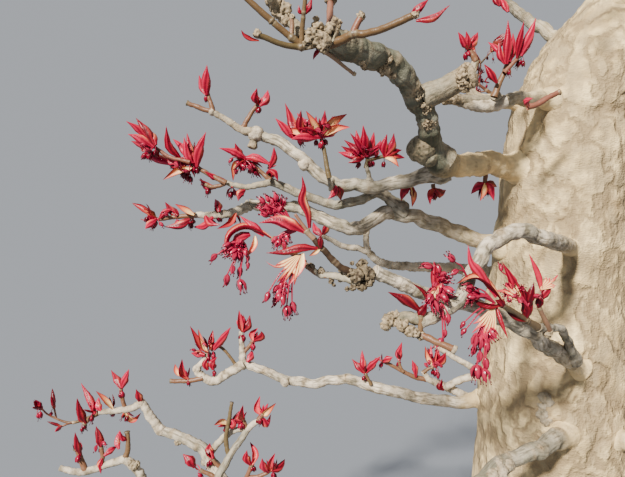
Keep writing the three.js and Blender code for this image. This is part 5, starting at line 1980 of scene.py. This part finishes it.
cluster(SIDE_STEMS["first"], (469, 295, 236), (9, 7), 7, 3.5, (-0.8, -0.4, 0))
cluster(SIDE_STEMS["fan"], (483, 337, 237), (9, 6), 7, 3.7, (0, -0.2, -1), PINK)
cluster(SIDE_STEMS["second"], (512, 292, 246), (10, 8), 8, 3.3, (-0.3, -0.7, 0))

# Scars: on the upper bough an eye round an old cut, patches of crumbled cork and the crusty
# rim of the sawn stub; on the others the swellings over old cuts and a knob at low_right's
# end; and on the trunk, at the picture's edge, bark grown in a ring over a cut.
EYE, EYE_REACH, EYE_BURRS = (392.5, 66), (7, 9), 14
# A swelling's place, size, roughness and how corky it is
GREEN_SWELLINGS = (
    ((421, 149, 307), 7.6, 0.16, 0.45), ((430, 138, 306), 5.0, 0.16, 0.3),
    ((429, 157, 310), 6.0, 0.14, 0.25),
)
PALE_SWELLINGS = (
    ((256, 134, 332), 4.7, 0.14, 0.2), ((305, 164, 330), 4.0, 0.14, 0.3), ((212, 112, 331), 2.2, 0.2, 0.2),
    ((233, 124, 331), 1.8, 0.2, 0.2), ((141, 403, 371), 2.9, 0.2, 0.4), ((161, 430, 370), 3.6, 0.16, 0.2),
    ((197, 369, 418), 3.2, 0.16, 0.1), ((243, 363, 420), 3.3, 0.12, 0.0), ((285, 382, 416), 3.5, 0.12, 0.1),
)


def rim(middle, reach, count, step, size, *look):
    """A ring of burrs about a middle, their size uneven."""
    for k in range(count):
        turn = step * k
        place = np.array(middle) + np.array(reach) * (math.cos(turn), math.sin(turn), math.cos(turn))
        burr(place, size[0] + size[1] * math.sin(2.3 * k), *look)


for k in range(EYE_BURRS):
    turn = 2 * math.pi * k / EYE_BURRS
    column, row = EYE[0] + EYE_REACH[0] * math.cos(turn), EYE[1] + EYE_REACH[1] * math.sin(turn)
    burr(on_bark("front_upper", column, row, 0.36), 1.53 + 0.54 * math.sin(2.3 * k), 0.34, 0.85)
crumbs("front_upper", (364, 57), (3.5, 12), 14, 1.3)
crumbs("front_upper", (384, 71), (7, 4), 9, 0.9)
crumbs("front_upper", (403, 66), (5, 5), 7, 1.1, 0.6)
crumbs("front_upper", (430, 124), (6, 4), 8, 1.5)
crumbs("front_upper", (419, 92), (5, 7), 8, 1.2, 0.7)
crumbs("front_upper", (427, 106), (5, 6), 7, 1.3, 0.7)
rim((466, 78, 279), (4.5, 9.5, 3), 11, 0.57, (2.3, 0.5), 0.36, 0.95)
for column, row, size in ((500, 471, 4.6), (492, 476, 3.8), (508, 466, 3.6), (498, 464, 3.2)):
    burr(on_bark("low_right", column, row, 1.5), size, 0.3, 0.45, 0.6)
rim((551, 410, 353), (9, 12, 0), 9, 0.7, (4.2, 0.8), 0.26, 0.35, 0.45)
burr((551, 410, 356), 7.5, 0.2, 0.2, 0.4)
for bleached, swellings in ((0.0, GREEN_SWELLINGS), (0.9, PALE_SWELLINGS)):
    for place, size, roughness, corky in swellings:
        burr(place, size, roughness, corky, bleached)

# The sprays further off, each at its own depth from the camera. A limb's last stretch is
# still in grey bark, the twigs on it are young, and each ends in two or three pairs of leaves.
FAR_LEAN = 8  # mm that a leaf's tip stands nearer or further than its foot
WIDE_LEAF = 5.4  # wider leaves have opened
FAR_FLOWER = 3.6


def far_leaves(depth, rows):
    """Each row has a leaf's width, then the column and row of each place from foot to tip."""
    for number, (width, *numbers) in enumerate(rows):
        places = list(zip(numbers[::2], numbers[1::2]))
        lean = FAR_LEAN * math.sin(2.4 * number + depth)
        course = [(*place, depth - lean * k / (len(places) - 1)) for k, place in enumerate(places)]
        tint = 0.35 + 0.6 * abs(math.sin(1.7 * number + depth))
        if width > WIDE_LEAF:
            near_blade(course, width, tint, 0.6, 0.85 if number % 2 else 0.3)
        else:
            near_spear(course, width, tint, 0.6 if number % 3 == 1 else 0.25)


def old_wood(depth, places, radii, bleached=0.8, wrinkle=0.13, tan=0.15):
    """A far limb's last stretch."""
    near_spur([(*place, depth) for place in places], radii, tan, bleached, wrinkle)


def far_twig(depth, places, radii, tint=0.7):
    """A young twig with a joint at its tip."""
    last = len(places) - 1
    near_twig([(*place, depth) for place in places], radii, tint, 0.1, 0.1, joints=(last,))


def far_flowers(depth, stem, places):
    """Flowers about one stem, each nodding its own way."""
    for number, place in enumerate(places):
        way = (math.sin(2.1 * number), -0.5, -0.3 - math.cos(1.3 * number))
        near_flower((*stem, depth), (*place, depth - 4 * math.sin(number)), FAR_FLOWER, way)


# Left upper spray: a long bare twig with upright buds, and an old cut under the bend
old_wood(331, [(256, 132), (242, 130), (228, 121), (213, 112)], [3.0, 2.3, 1.9, 1.7], 0.5, 0.13, 0.45)
far_twig(330.5, [(213, 112), (210, 101), (207, 93)], [1.6, 1.35, 1.3])
far_twig(331, [(212, 112), (200, 108), (187, 103)], [1.6, 1.45, 1.35])
far_twig(331, [(242, 130), (250, 115), (258, 104)], [1.7, 1.35, 1.2])
far_leaves(329, (
    (5.4, 207, 95, 206, 81, 207, 65), (4.2, 206, 95, 202, 86, 199, 75), (4.8, 258, 104, 255, 97, 257, 88),
    (5.0, 260, 106, 266, 99, 268, 90),
))
# Left inner spray: two open bunches, and a third above them
old_wood(326, [(270, 182), (258, 185), (245, 187), (225, 183)], [2.2, 1.8, 1.6, 1.4], 0.4, 0.13, 0.3)
far_twig(318, [(226, 183), (205, 172), (190, 162)], [1.6, 1.3, 1.2])
far_twig(312, [(190, 162), (170, 157), (153, 146)], [1.1, 1.0, 0.95], 1.0)
far_twig(320, [(225, 184), (213, 187), (205, 184)], [1.2, 1.1, 1.0])
far_twig(326, [(270, 180), (262, 173), (250, 163), (244, 158)], [1.6, 1.3, 1.2, 1.1])
far_leaves(315, (
    (5.2, 197, 167, 199, 150, 206, 132), (3.8, 195, 163, 190, 148, 187, 133),
    (5.0, 191, 160, 183, 148, 173, 139), (4.6, 180, 158, 169, 146, 166, 126),
    (5.2, 190, 164, 167, 161, 151, 155, 142, 144), (6.4, 192, 168, 178, 172, 163, 180),
    (4.6, 193, 163, 187, 154, 184, 137), (4.4, 186, 166, 174, 165, 166, 160),
))
far_leaves(308, (
    (5.0, 155, 146, 146, 131, 136, 118), (4.8, 154, 147, 141, 139, 128, 134),
    (4.0, 153, 148, 142, 145, 131, 141), (3.4, 150, 142, 138, 129, 126, 121),
    (4.4, 156, 145, 152, 136, 146, 128),
))
far_leaves(322, (
    (4.4, 247, 159, 234, 152, 219, 148), (5.8, 244, 158, 236, 166, 233, 181),
    (5.0, 246, 158, 257, 158, 273, 166), (4.2, 243, 157, 238, 151, 235, 143),
    (4.0, 247, 162, 252, 167, 262, 179), (3.8, 270, 168, 274, 158, 274, 147),
    (3.8, 268, 170, 275, 173, 278, 181), (4.0, 216, 188, 206, 186, 200, 178),
    (3.6, 226, 181, 214, 177, 204, 171), (4.0, 250, 164, 243, 166, 240, 173),
    (4.2, 245, 190, 240, 194, 238, 201), (4.0, 336, 186, 334, 193, 328, 199),
    (5.0, 338, 187, 340, 193, 341, 201),
))
far_flowers(314, (190, 163), ((182, 160), (176, 164), (186, 171), (180, 168), (194, 156)))
far_flowers(322, (244, 159), ((238, 163), (243, 166), (250, 168), (236, 172), (255, 173), (231, 160)))
far_flowers(309, (153, 146), ((146, 139), (143, 144), (148, 150)))
# Left middle spray: leaves above and below a level limb
old_wood(344, [(250, 205), (235, 212), (215, 215), (195, 215)], [3.4, 2.8, 2.4, 1.9])
far_twig(341, [(196, 215), (175, 217), (157, 219), (149, 213)], [1.7, 1.4, 1.2, 1.1])
far_twig(343, [(217, 215), (218, 208)], [1.3, 1.1])
far_leaves(339, (
    (5.6, 153, 217, 143, 209, 132, 203), (4.6, 156, 219, 150, 224, 145, 229),
    (4.8, 178, 216, 171, 210, 165, 202), (5.8, 194, 215, 185, 210, 175, 204),
    (5.0, 190, 219, 180, 225, 164, 227), (4.6, 213, 217, 204, 226, 193, 227),
    (5.6, 236, 213, 230, 224, 217, 229), (4.8, 219, 212, 218, 205, 215, 199),
    (4.0, 160, 218, 165, 212, 172, 209), (4.2, 205, 216, 210, 223, 220, 225),
))
far_flowers(340, (158, 219), ((152, 222), (161, 224), (166, 214)))
# Left low spray: the limb's pale end turns up, with round bunches on short shoots
old_wood(
    418, [(244, 364), (228, 373), (214, 381), (202, 376), (197, 369), (203, 361), (208, 352)],
    [3.6, 3.4, 3.3, 3.0, 2.6, 2.0, 1.6], 1.0,
)
old_wood(420, [(243, 365), (242, 347), (241, 331)], [3.0, 2.3, 1.6], 0.8)
far_twig(416, [(203, 378), (188, 381), (170, 381)], [2.0, 1.8, 1.6])
far_twig(419, [(238, 368), (227, 353), (218, 346), (211, 350)], [1.3, 1.1, 1.1, 1.1], 0.4)
far_twig(420, [(243, 354), (250, 345), (253, 340)], [1.6, 1.4, 1.3])
far_leaves(415, (
    (7.2, 208, 352, 199, 342, 190, 326), (6.0, 207, 352, 202, 343, 198, 329),
    (6.4, 210, 350, 211, 341, 213, 330), (5.2, 214, 350, 223, 338, 231, 327),
    (5.4, 205, 355, 198, 354, 191, 353), (5.0, 213, 370, 212, 363, 217, 357),
    (8.0, 188, 379, 181, 371, 182, 359), (6.4, 187, 378, 178, 372, 175, 364),
    (6.6, 242, 332, 240, 322, 239, 310), (5.4, 243, 332, 248, 325, 250, 315),
    (6.6, 253, 341, 252, 335, 258, 328), (5.4, 254, 341, 262, 336, 261, 331),
    (4.8, 247, 362, 251, 356, 252, 350), (5.0, 208, 370, 205, 364, 207, 358),
))
far_flowers(415, (206, 352), ((197, 340), (204, 344), (194, 350), (210, 342)))
# Low left limb: it runs on past the picture's edge, with spears in pairs
old_wood(
    371, [(161, 431), (150, 416), (142, 404), (130, 409), (112, 411), (99, 412)],
    [3.4, 3.1, 2.6, 2.3, 2.0, 1.7],
)
far_twig(376, [(100, 412), (92, 417), (84, 424)], [1.7, 1.5, 1.4])
far_twig(372, [(125, 409), (122, 397), (121, 387)], [1.6, 1.3, 1.2])
far_leaves(370, (
    (5.2, 95, 414, 90, 400, 81, 383), (5.8, 113, 409, 106, 399, 96, 391),
    (4.8, 121, 388, 117, 380, 111, 370), (4.8, 122, 388, 125, 379, 129, 369),
    (4.4, 142, 403, 139, 397, 136, 389), (5.8, 124, 412, 132, 419, 141, 413),
    (5.0, 86, 423, 80, 412, 77, 398), (4.6, 101, 411, 98, 405, 99, 397),
))
# Its lower fork comes up past an old cut and bends over to the left
old_wood(
    356, [(235, 491), (205, 502), (172, 501), (150, 489), (139, 472), (132, 464), (125, 459)],
    [4.2, 3.6, 3.2, 3.0, 2.9, 3.0, 2.6],
)
old_wood(356, [(126, 459), (108, 464), (92, 470), (78, 472), (60, 468)], [2.6, 2.3, 2.3, 2.2, 1.8])
far_twig(356, [(125, 459), (128, 449), (128, 440), (127, 431)], [2.0, 1.6, 1.4, 1.4], 0.5)
far_twig(356, [(101, 467), (102.5, 456), (101, 446)], [1.6, 1.4, 1.3])
far_twig(356, [(86, 471), (81, 460), (77, 448)], [2.1, 1.8, 1.6])
burrs((
    (134, 466, 353, 2.8), (131, 463, 354, 2.2), (137, 464, 354, 2.0), (178, 442, 367, 2.2),
), 0.3, 0.7)
far_leaves(355, (
    (4.8, 101, 447, 99, 437, 96, 426), (3.8, 119, 449, 117, 441, 120, 430),
    (4.2, 81, 455, 77, 445, 75, 432), (3.6, 104, 456, 111, 450, 118, 446),
    (3.6, 102, 458, 100, 465, 101, 474), (3.2, 127, 440, 122, 438, 120, 431),
))
far_flowers(355, (101, 447), ((96, 448), (104, 443)))
near_spear([(195, 467, 358), (189, 460, 357), (183, 454, 357)], 6.2, RED)
near_spear([(206, 452, 364), (202, 447, 364), (197, 443, 364)], 5.0, RED)
# The low left limb's inner shoots
near_spur(
    [(204, 463, 364), (211, 452, 360), (221, 440, 357), (233, 431, 356), (247, 428, 355.5)],
    [2.5, 2.3, 2.1, 1.9, 1.8], 0.15, 0.6, 0.13,
)
old_wood(355.5, [(248, 429), (253, 424), (259, 420)], [2.3, 1.9, 1.6])
far_twig(357, [(238, 489), (246, 478), (252, 464)], [1.7, 1.4, 1.3], 0.8)
far_twig(357, [(246, 478), (260, 476), (271, 470)], [1.4, 1.3, 1.2], 0.8)
far_leaves(356, (
    (6.4, 252, 465, 255, 454, 250, 442), (4.6, 251, 465, 246, 458, 247, 450),
    (5.8, 271, 471, 270, 462, 275, 453), (5.2, 272, 471, 280, 467, 285, 459),
    (4.8, 269, 472, 263, 466, 262, 458),
))
far_twig(355, [(246, 428), (243, 418)], [1.4, 1.2])
far_twig(351, [(230, 459), (226, 441), (229, 420), (232, 402)], [1.7, 1.4, 1.25, 1.1], 0.3)
far_twig(353, [(258, 420), (264, 413)], [1.5, 1.3])
far_twig(354, [(221, 481), (211, 475), (200, 470)], [1.6, 1.4, 1.2])
far_twig(354, [(224, 469), (217, 465), (212, 458)], [1.5, 1.3, 1.1])
far_leaves(353, (
    (6.2, 243, 420, 240, 414, 243, 405), (5.4, 242, 421, 236, 419, 239, 411),
    (6.4, 262, 415, 257, 408, 260, 396), (6.0, 263, 415, 268, 411, 276, 403),
    (5.2, 262, 418, 267, 424, 271, 414), (6.0, 227, 424, 221, 421, 214, 425),
    (5.2, 227, 426, 233, 424, 229, 417), (5.4, 213, 459, 209, 450, 210, 443),
))
# Fore and back bunches over the left upper bough
far_twig(274, [(329, 178), (326, 160), (323, 146), (321, 136)], [1.4, 1.1, 1.0, 1.1], 0.3)
far_leaves(272, (
    (5.0, 321, 137, 304, 137, 291, 139), (4.2, 296, 138, 292, 122, 285, 103),
    (4.2, 294, 139, 286, 129, 275, 118), (5.6, 320, 136, 313, 124, 306, 111),
    (4.0, 322, 135, 324, 124, 325, 110), (6.4, 323, 136, 334, 122, 347, 114),
    (4.4, 321, 136, 316, 128, 316, 116), (4.6, 322, 137, 332, 131, 343, 128),
    (4.4, 319, 136, 310, 131, 299, 128), (4.6, 316, 136, 305, 124, 297, 113),
    (4.2, 304, 136, 300, 124, 301, 110), (5.6, 308, 137, 296, 133, 280, 130),
    (4.6, 322, 136, 329, 127, 333, 116), (5.6, 324, 136, 337, 129, 350, 127),
))
far_flowers(
    271, (321, 136),
    ((312, 127), (318, 130), (328, 126), (335, 125), (307, 122), (325, 131), (338, 119), (303, 132)),
)
far_twig(345, [(366, 168), (367, 160), (366, 154)], [1.5, 1.2, 1.2], 0.3)
far_twig(344, [(367, 161), (377, 158), (385, 156)], [1.2, 1.1, 1.1], 0.3)
far_leaves(343, (
    (4.8, 366, 156, 355, 148, 344, 140), (4.6, 366, 155, 359, 143, 356, 130),
    (5.2, 366, 155, 365, 141, 363, 125), (4.6, 367, 156, 372, 144, 374, 132),
    (5.2, 385, 157, 384, 146, 387, 134), (4.8, 386, 158, 393, 152, 402, 150),
    (4.4, 365, 157, 350, 155, 338, 152), (5.6, 385, 158, 393, 161, 399, 167),
    (4.2, 368, 157, 376, 150, 381, 140), (4.4, 364, 158, 356, 160, 348, 163),
    (4.8, 385, 157, 392, 146, 394, 133), (4.6, 364, 157, 352, 152, 341, 146),
    (4.4, 366, 156, 360, 146, 350, 133), (4.6, 386, 158, 395, 156, 405, 158),
))
far_flowers(
    342, (367, 157), ((358, 152), (363, 147), (371, 150), (376, 154), (352, 148), (388, 150), (380, 146)),
)
# Upper sprays: upright spears against the trunk's edge, and a pair behind
old_wood(
    311, [(506, 101), (494, 105), (480, 106), (460, 101), (444, 97)], [3.4, 3.6, 3.5, 3.2, 2.4], 1.0,
    0.07,
)
far_twig(300, [(494, 97), (498, 86), (504, 73), (508, 62)], [2.0, 1.7, 1.4, 1.3], 0.6)
far_twig(297, [(504, 73), (514, 62), (520, 55)], [1.2, 1.1, 1.0], 0.9)
far_twig(356, [(476, 61), (471, 53), (468, 48)], [2.0, 1.7, 1.5], 0.7)
far_twig(300, [(527, 107), (538, 104), (549, 97), (560, 92)], [1.6, 1.6, 1.5, 1.4], 1.0)
far_leaves(296, (
    (5.0, 507, 64, 508, 45, 508, 20), (4.2, 505, 64, 500, 54, 499, 42), (4.4, 509, 62, 513, 48, 513, 33),
    (3.8, 517, 58, 520, 40, 524, 21), (3.8, 504, 57, 496, 48, 488, 42), (4.4, 497, 83, 491, 74, 484, 64),
    (4.8, 521, 56, 529, 38, 536, 18), (4.0, 520, 56, 526, 46, 532, 36),
    (3.8, 529, 106, 526, 101, 533, 98), (4.2, 500, 6, 496, 0, 492, -8), (4.2, 508, 12, 504, 4, 498, -4),
))
far_leaves(354, (
    (5.2, 468, 49, 463, 41, 458, 32), (5.2, 469, 49, 474, 41, 478, 32), (4.2, 468, 49, 468, 40, 466, 31),
))
# Short shoots along the boughs
far_twig(338, [(412, 178), (411, 186)], [1.4, 1.2])
far_twig(340, [(433, 184), (434, 190)], [1.4, 1.2])
far_twig(352, [(486, 170), (485, 184)], [1.6, 1.3])
far_twig(412, [(371, 385), (368, 379), (365, 373)], [1.3, 1.0, 0.9], 0.4)
far_twig(413, [(403, 372), (400, 366), (399, 360)], [1.3, 1.1, 1.0], 0.6)
far_twig(413, [(423, 373), (428, 369), (433, 367)], [1.6, 1.3, 1.2], 0.6)
far_twig(413, [(447, 388), (446, 389), (445, 388)], [1.3, 1.2, 1.1], 0.6)
far_leaves(337, (
    (5.4, 411, 185, 404, 191, 401, 201), (5.8, 411, 186, 413, 196, 412, 207),
    (5.8, 434, 189, 429, 195, 430, 205), (5.4, 434, 189, 440, 193, 446, 190),
))
far_leaves(350, (
    (5.2, 485, 183, 477, 187, 471, 194), (5.8, 485, 183, 483, 192, 480, 201),
    (5.4, 486, 183, 491, 190, 494, 201), (4.6, 486, 183, 492, 184, 497, 187),
))
far_leaves(412, (
    (4.6, 365, 374, 358, 366, 352, 359), (4.6, 365, 373, 363, 362, 362, 350),
    (4.8, 366, 373, 373, 364, 381, 356), (5.2, 399, 361, 399, 353, 402, 342),
    (4.6, 383, 362, 388, 359, 393, 357), (6.2, 434, 367, 427, 358, 425, 346),
    (6.2, 434, 367, 436, 357, 438, 344), (5.4, 434, 367, 442, 360, 446, 352),
    (6.0, 434, 366, 430, 357, 431, 345), (5.4, 444, 390, 440, 386, 442, 379),
    (4.6, 416, 377, 415, 368, 412, 360),
))
far_flowers(411, (434, 366), ((429, 362), (437, 363), (441, 366), (431, 356), (426, 365), (436, 372)))
# The pale limb's back fork, which runs from the trunk behind it and divides in three
old_wood(414, [(468, 398), (455, 391), (442, 385), (428, 379), (423, 371)], [3.2, 3.0, 2.8, 2.3, 1.8], 0.9)
old_wood(409, [(446, 387), (462, 379), (478, 377), (502, 384)], [2.7, 2.6, 2.7, 3.2], 0.9)
old_wood(416, [(505, 386), (473, 368), (457, 359), (442, 350), (434, 345)], [3.0, 2.4, 2.1, 1.9, 1.7], 0.9)
far_twig(414.5, [(430, 380), (415, 377), (402, 371), (393, 366), (382, 361)], [2.1, 1.8, 1.5, 1.3, 1.2])
# The far limb, which runs from the trunk behind the left boughs and forks once
near_spur(
    [
        (502, 274, 410), (480, 271, 411), (452, 268, 410), (425, 267, 408), (400, 266, 406),
        (380, 262, 404), (367, 251, 402),
    ],
    [4.8, 4.2, 3.8, 3.5, 3.2, 2.9, 2.5], 0.15, 0.75, 0.13,
)
near_spur(
    [(368, 253, 402), (366, 240, 400), (367, 228, 398), (366, 218, 397)], [2.4, 2.2, 2.1, 1.8], 0.15, 0.8,
    0.13,
)
near_spur(
    [(368, 252, 402), (357, 248, 400), (345, 247, 397), (333, 241, 392), (322, 235, 388)],
    [2.4, 2.2, 2.1, 1.8, 1.5], 0.15, 0.8, 0.13,
)
far_leaves(388, (
    (5.0, 322, 236, 316, 230, 313, 222), (4.6, 323, 235, 326, 228, 326, 220),
))


# What fills the bunches out: small leaves and flowers on every side of their feet
def tuft(place, way, size, pairs, flowers):
    roll = dice(round(7 * place[0] + place[1]))
    way = unit(np.array(way, dtype=float))
    add_tuft(near_leaves, near_blossom, seen(*place), way, roll, size, pairs, flowers)


for place, way, size, pairs, flowers in (
    ((207, 94, 330.5), (0, 0.3, 1), 0.45, 1, 1), ((258, 105, 331), (0.2, 0.3, 1), 0.5, 1, 1),
    ((192, 161, 317), (-0.2, 0, 1), 0.75, 2, 5), ((184, 165, 317), (-0.8, -0.4, 0.1), 0.6, 1, 5),
    ((189, 170, 318), (0, -0.6, -0.8), 0.5, 1, 4), ((154, 146, 309), (-0.7, 0, 0.7), 0.65, 2, 4),
    ((148, 150, 310), (-0.6, 0.4, 0.1), 0.5, 1, 3), ((244, 159, 322), (-0.4, -0.5, -0.4), 0.6, 2, 6),
    ((251, 162, 324), (0.5, 0.2, -0.5), 0.5, 1, 4), ((209, 184, 320), (-0.7, 0, 0), 0.5, 1, 2),
    ((232, 187, 325), (0, 0.3, -1), 0.5, 1, 2), ((268, 168, 326), (0.4, 0, 0.2), 0.45, 1, 2),
    ((337, 187, 331), (0, -0.3, -1), 0.45, 1, 1), ((157, 219, 340), (-1, 0, 0.2), 0.65, 2, 3),
    ((150, 214, 340), (-0.8, 0.3, 0.5), 0.6, 1, 3), ((178, 217, 342), (-0.3, -0.4, 0.6), 0.5, 1, 2),
    ((193, 217, 343), (-0.3, 0, -0.8), 0.6, 1, 3), ((217, 213, 343), (0, -0.5, 0.9), 0.5, 1, 2),
    ((212, 217, 344), (0, 0, -1), 0.5, 1, 2), ((234, 214, 344), (0, -0.3, -1), 0.6, 1, 2),
    ((206, 351, 418), (-0.5, -0.2, 0.8), 0.85, 2, 5), ((211, 349, 418), (0.5, 0.2, 0.8), 0.75, 2, 4),
    ((188, 378, 416), (-0.4, -0.2, 0.8), 0.7, 2, 3), ((242, 331, 420), (0, -0.2, 1), 0.8, 2, 3),
    ((253, 341, 420), (0.6, 0.2, 0.7), 0.6, 2, 3), ((214, 368, 418), (0.3, -0.5, 0.7), 0.55, 1, 2),
    ((94, 413, 371), (-0.3, -0.2, 0.9), 0.65, 2, 3), ((112, 409, 371), (-0.2, 0.3, 0.9), 0.6, 1, 2),
    ((122, 389, 372), (0, 0, 1), 0.5, 1, 2), ((125, 411, 371), (0.2, -0.3, -1), 0.55, 1, 2),
    ((85, 423, 376), (-0.5, 0, 0.7), 0.6, 2, 3), ((141, 402, 370), (-0.1, -0.2, 1), 0.4, 1, 0),
    ((243, 419, 355), (-0.2, -0.2, 0.9), 0.6, 2, 3), ((262, 415, 353), (0.3, 0.1, 0.9), 0.65, 2, 3),
    ((227, 425, 354), (-0.5, -0.2, 0.2), 0.55, 1, 2), ((200, 470, 354), (-0.6, 0, 0.6), 0.4, 1, 1),
    ((212, 458, 354), (-0.3, -0.2, 0.8), 0.6, 1, 2), ((252, 465, 357), (0, 0, 1), 0.5, 1, 2),
    ((271, 471, 357), (0.2, 0, 0.9), 0.6, 2, 3), ((321, 136, 274), (0, 0.2, 1), 0.75, 2, 1),
    ((318, 137, 274), (-0.8, 0.3, 0.5), 0.6, 2, 1), ((324, 137, 274), (0.8, -0.2, 0.6), 0.6, 2, 1),
    ((297, 135, 273), (-0.3, 0, 0.8), 0.45, 1, 1), ((366, 156, 345), (0, 0.3, 1), 0.8, 2, 2),
    ((362, 158, 345), (-0.8, -0.3, 0.5), 0.65, 2, 1), ((385, 157, 344), (0.3, 0, 0.9), 0.7, 2, 1),
    ((375, 159, 344), (0.3, -0.5, 0.7), 0.5, 1, 1), ((507, 64, 300), (0, 0, 1), 0.6, 2, 2),
    ((520, 56, 297), (0.3, 0, 0.9), 0.5, 1, 2), ((468, 49, 356), (0, 0.2, 1), 0.7, 2, 3),
    ((411, 185, 338), (-0.2, -0.3, -0.9), 0.5, 1, 2), ((434, 189, 340), (0.2, 0.3, -0.9), 0.5, 1, 2),
    ((485, 184, 352), (0, -0.2, -1), 0.65, 2, 3), ((365, 373, 412), (0, 0, 1), 0.7, 2, 4),
    ((399, 360, 413), (0, 0.2, 1), 0.6, 1, 2), ((434, 367, 413), (0, 0, 1), 0.95, 2, 6),
    ((382, 361, 414), (-0.6, 0, 0.6), 0.5, 1, 2), ((100, 446, 356), (-0.1, 0, 1), 0.5, 1, 2),
    ((80, 453, 356), (-0.3, 0, 1), 0.55, 1, 2),
):
    tuft(place, way, size, pairs, flowers)

by_hand = [spray for spray in sprays if spray.get("bare") or spray["limb"] in BY_HAND]
near_nodes = [f"spray_{spray['limb']}" for spray in by_hand]
# Spurs and burrs wear the boughs' bark, which asks how corky and how bleached they are. Below
# 0 the bleach mark darkens them: painted shade in the hollows of rough burrs, and darker cork
# where a burr is given a bleach below 0.
near_cork["marks"] = near_burrs["marks"] = ("cork", "bleach")
mesh_of(near_cork, "near_spurs", bough_paint, near_nodes)
mesh_of(near_burrs, "near_burrs", bough_paint, near_nodes)
mesh_of(near_twigs, "near_twigs", twig_paint, near_nodes)
mesh_of(near_leaves, "near_leaves", leaf_paint, near_nodes)
mesh_of(near_blossom, "near_blossom", blossom_paint, near_nodes)
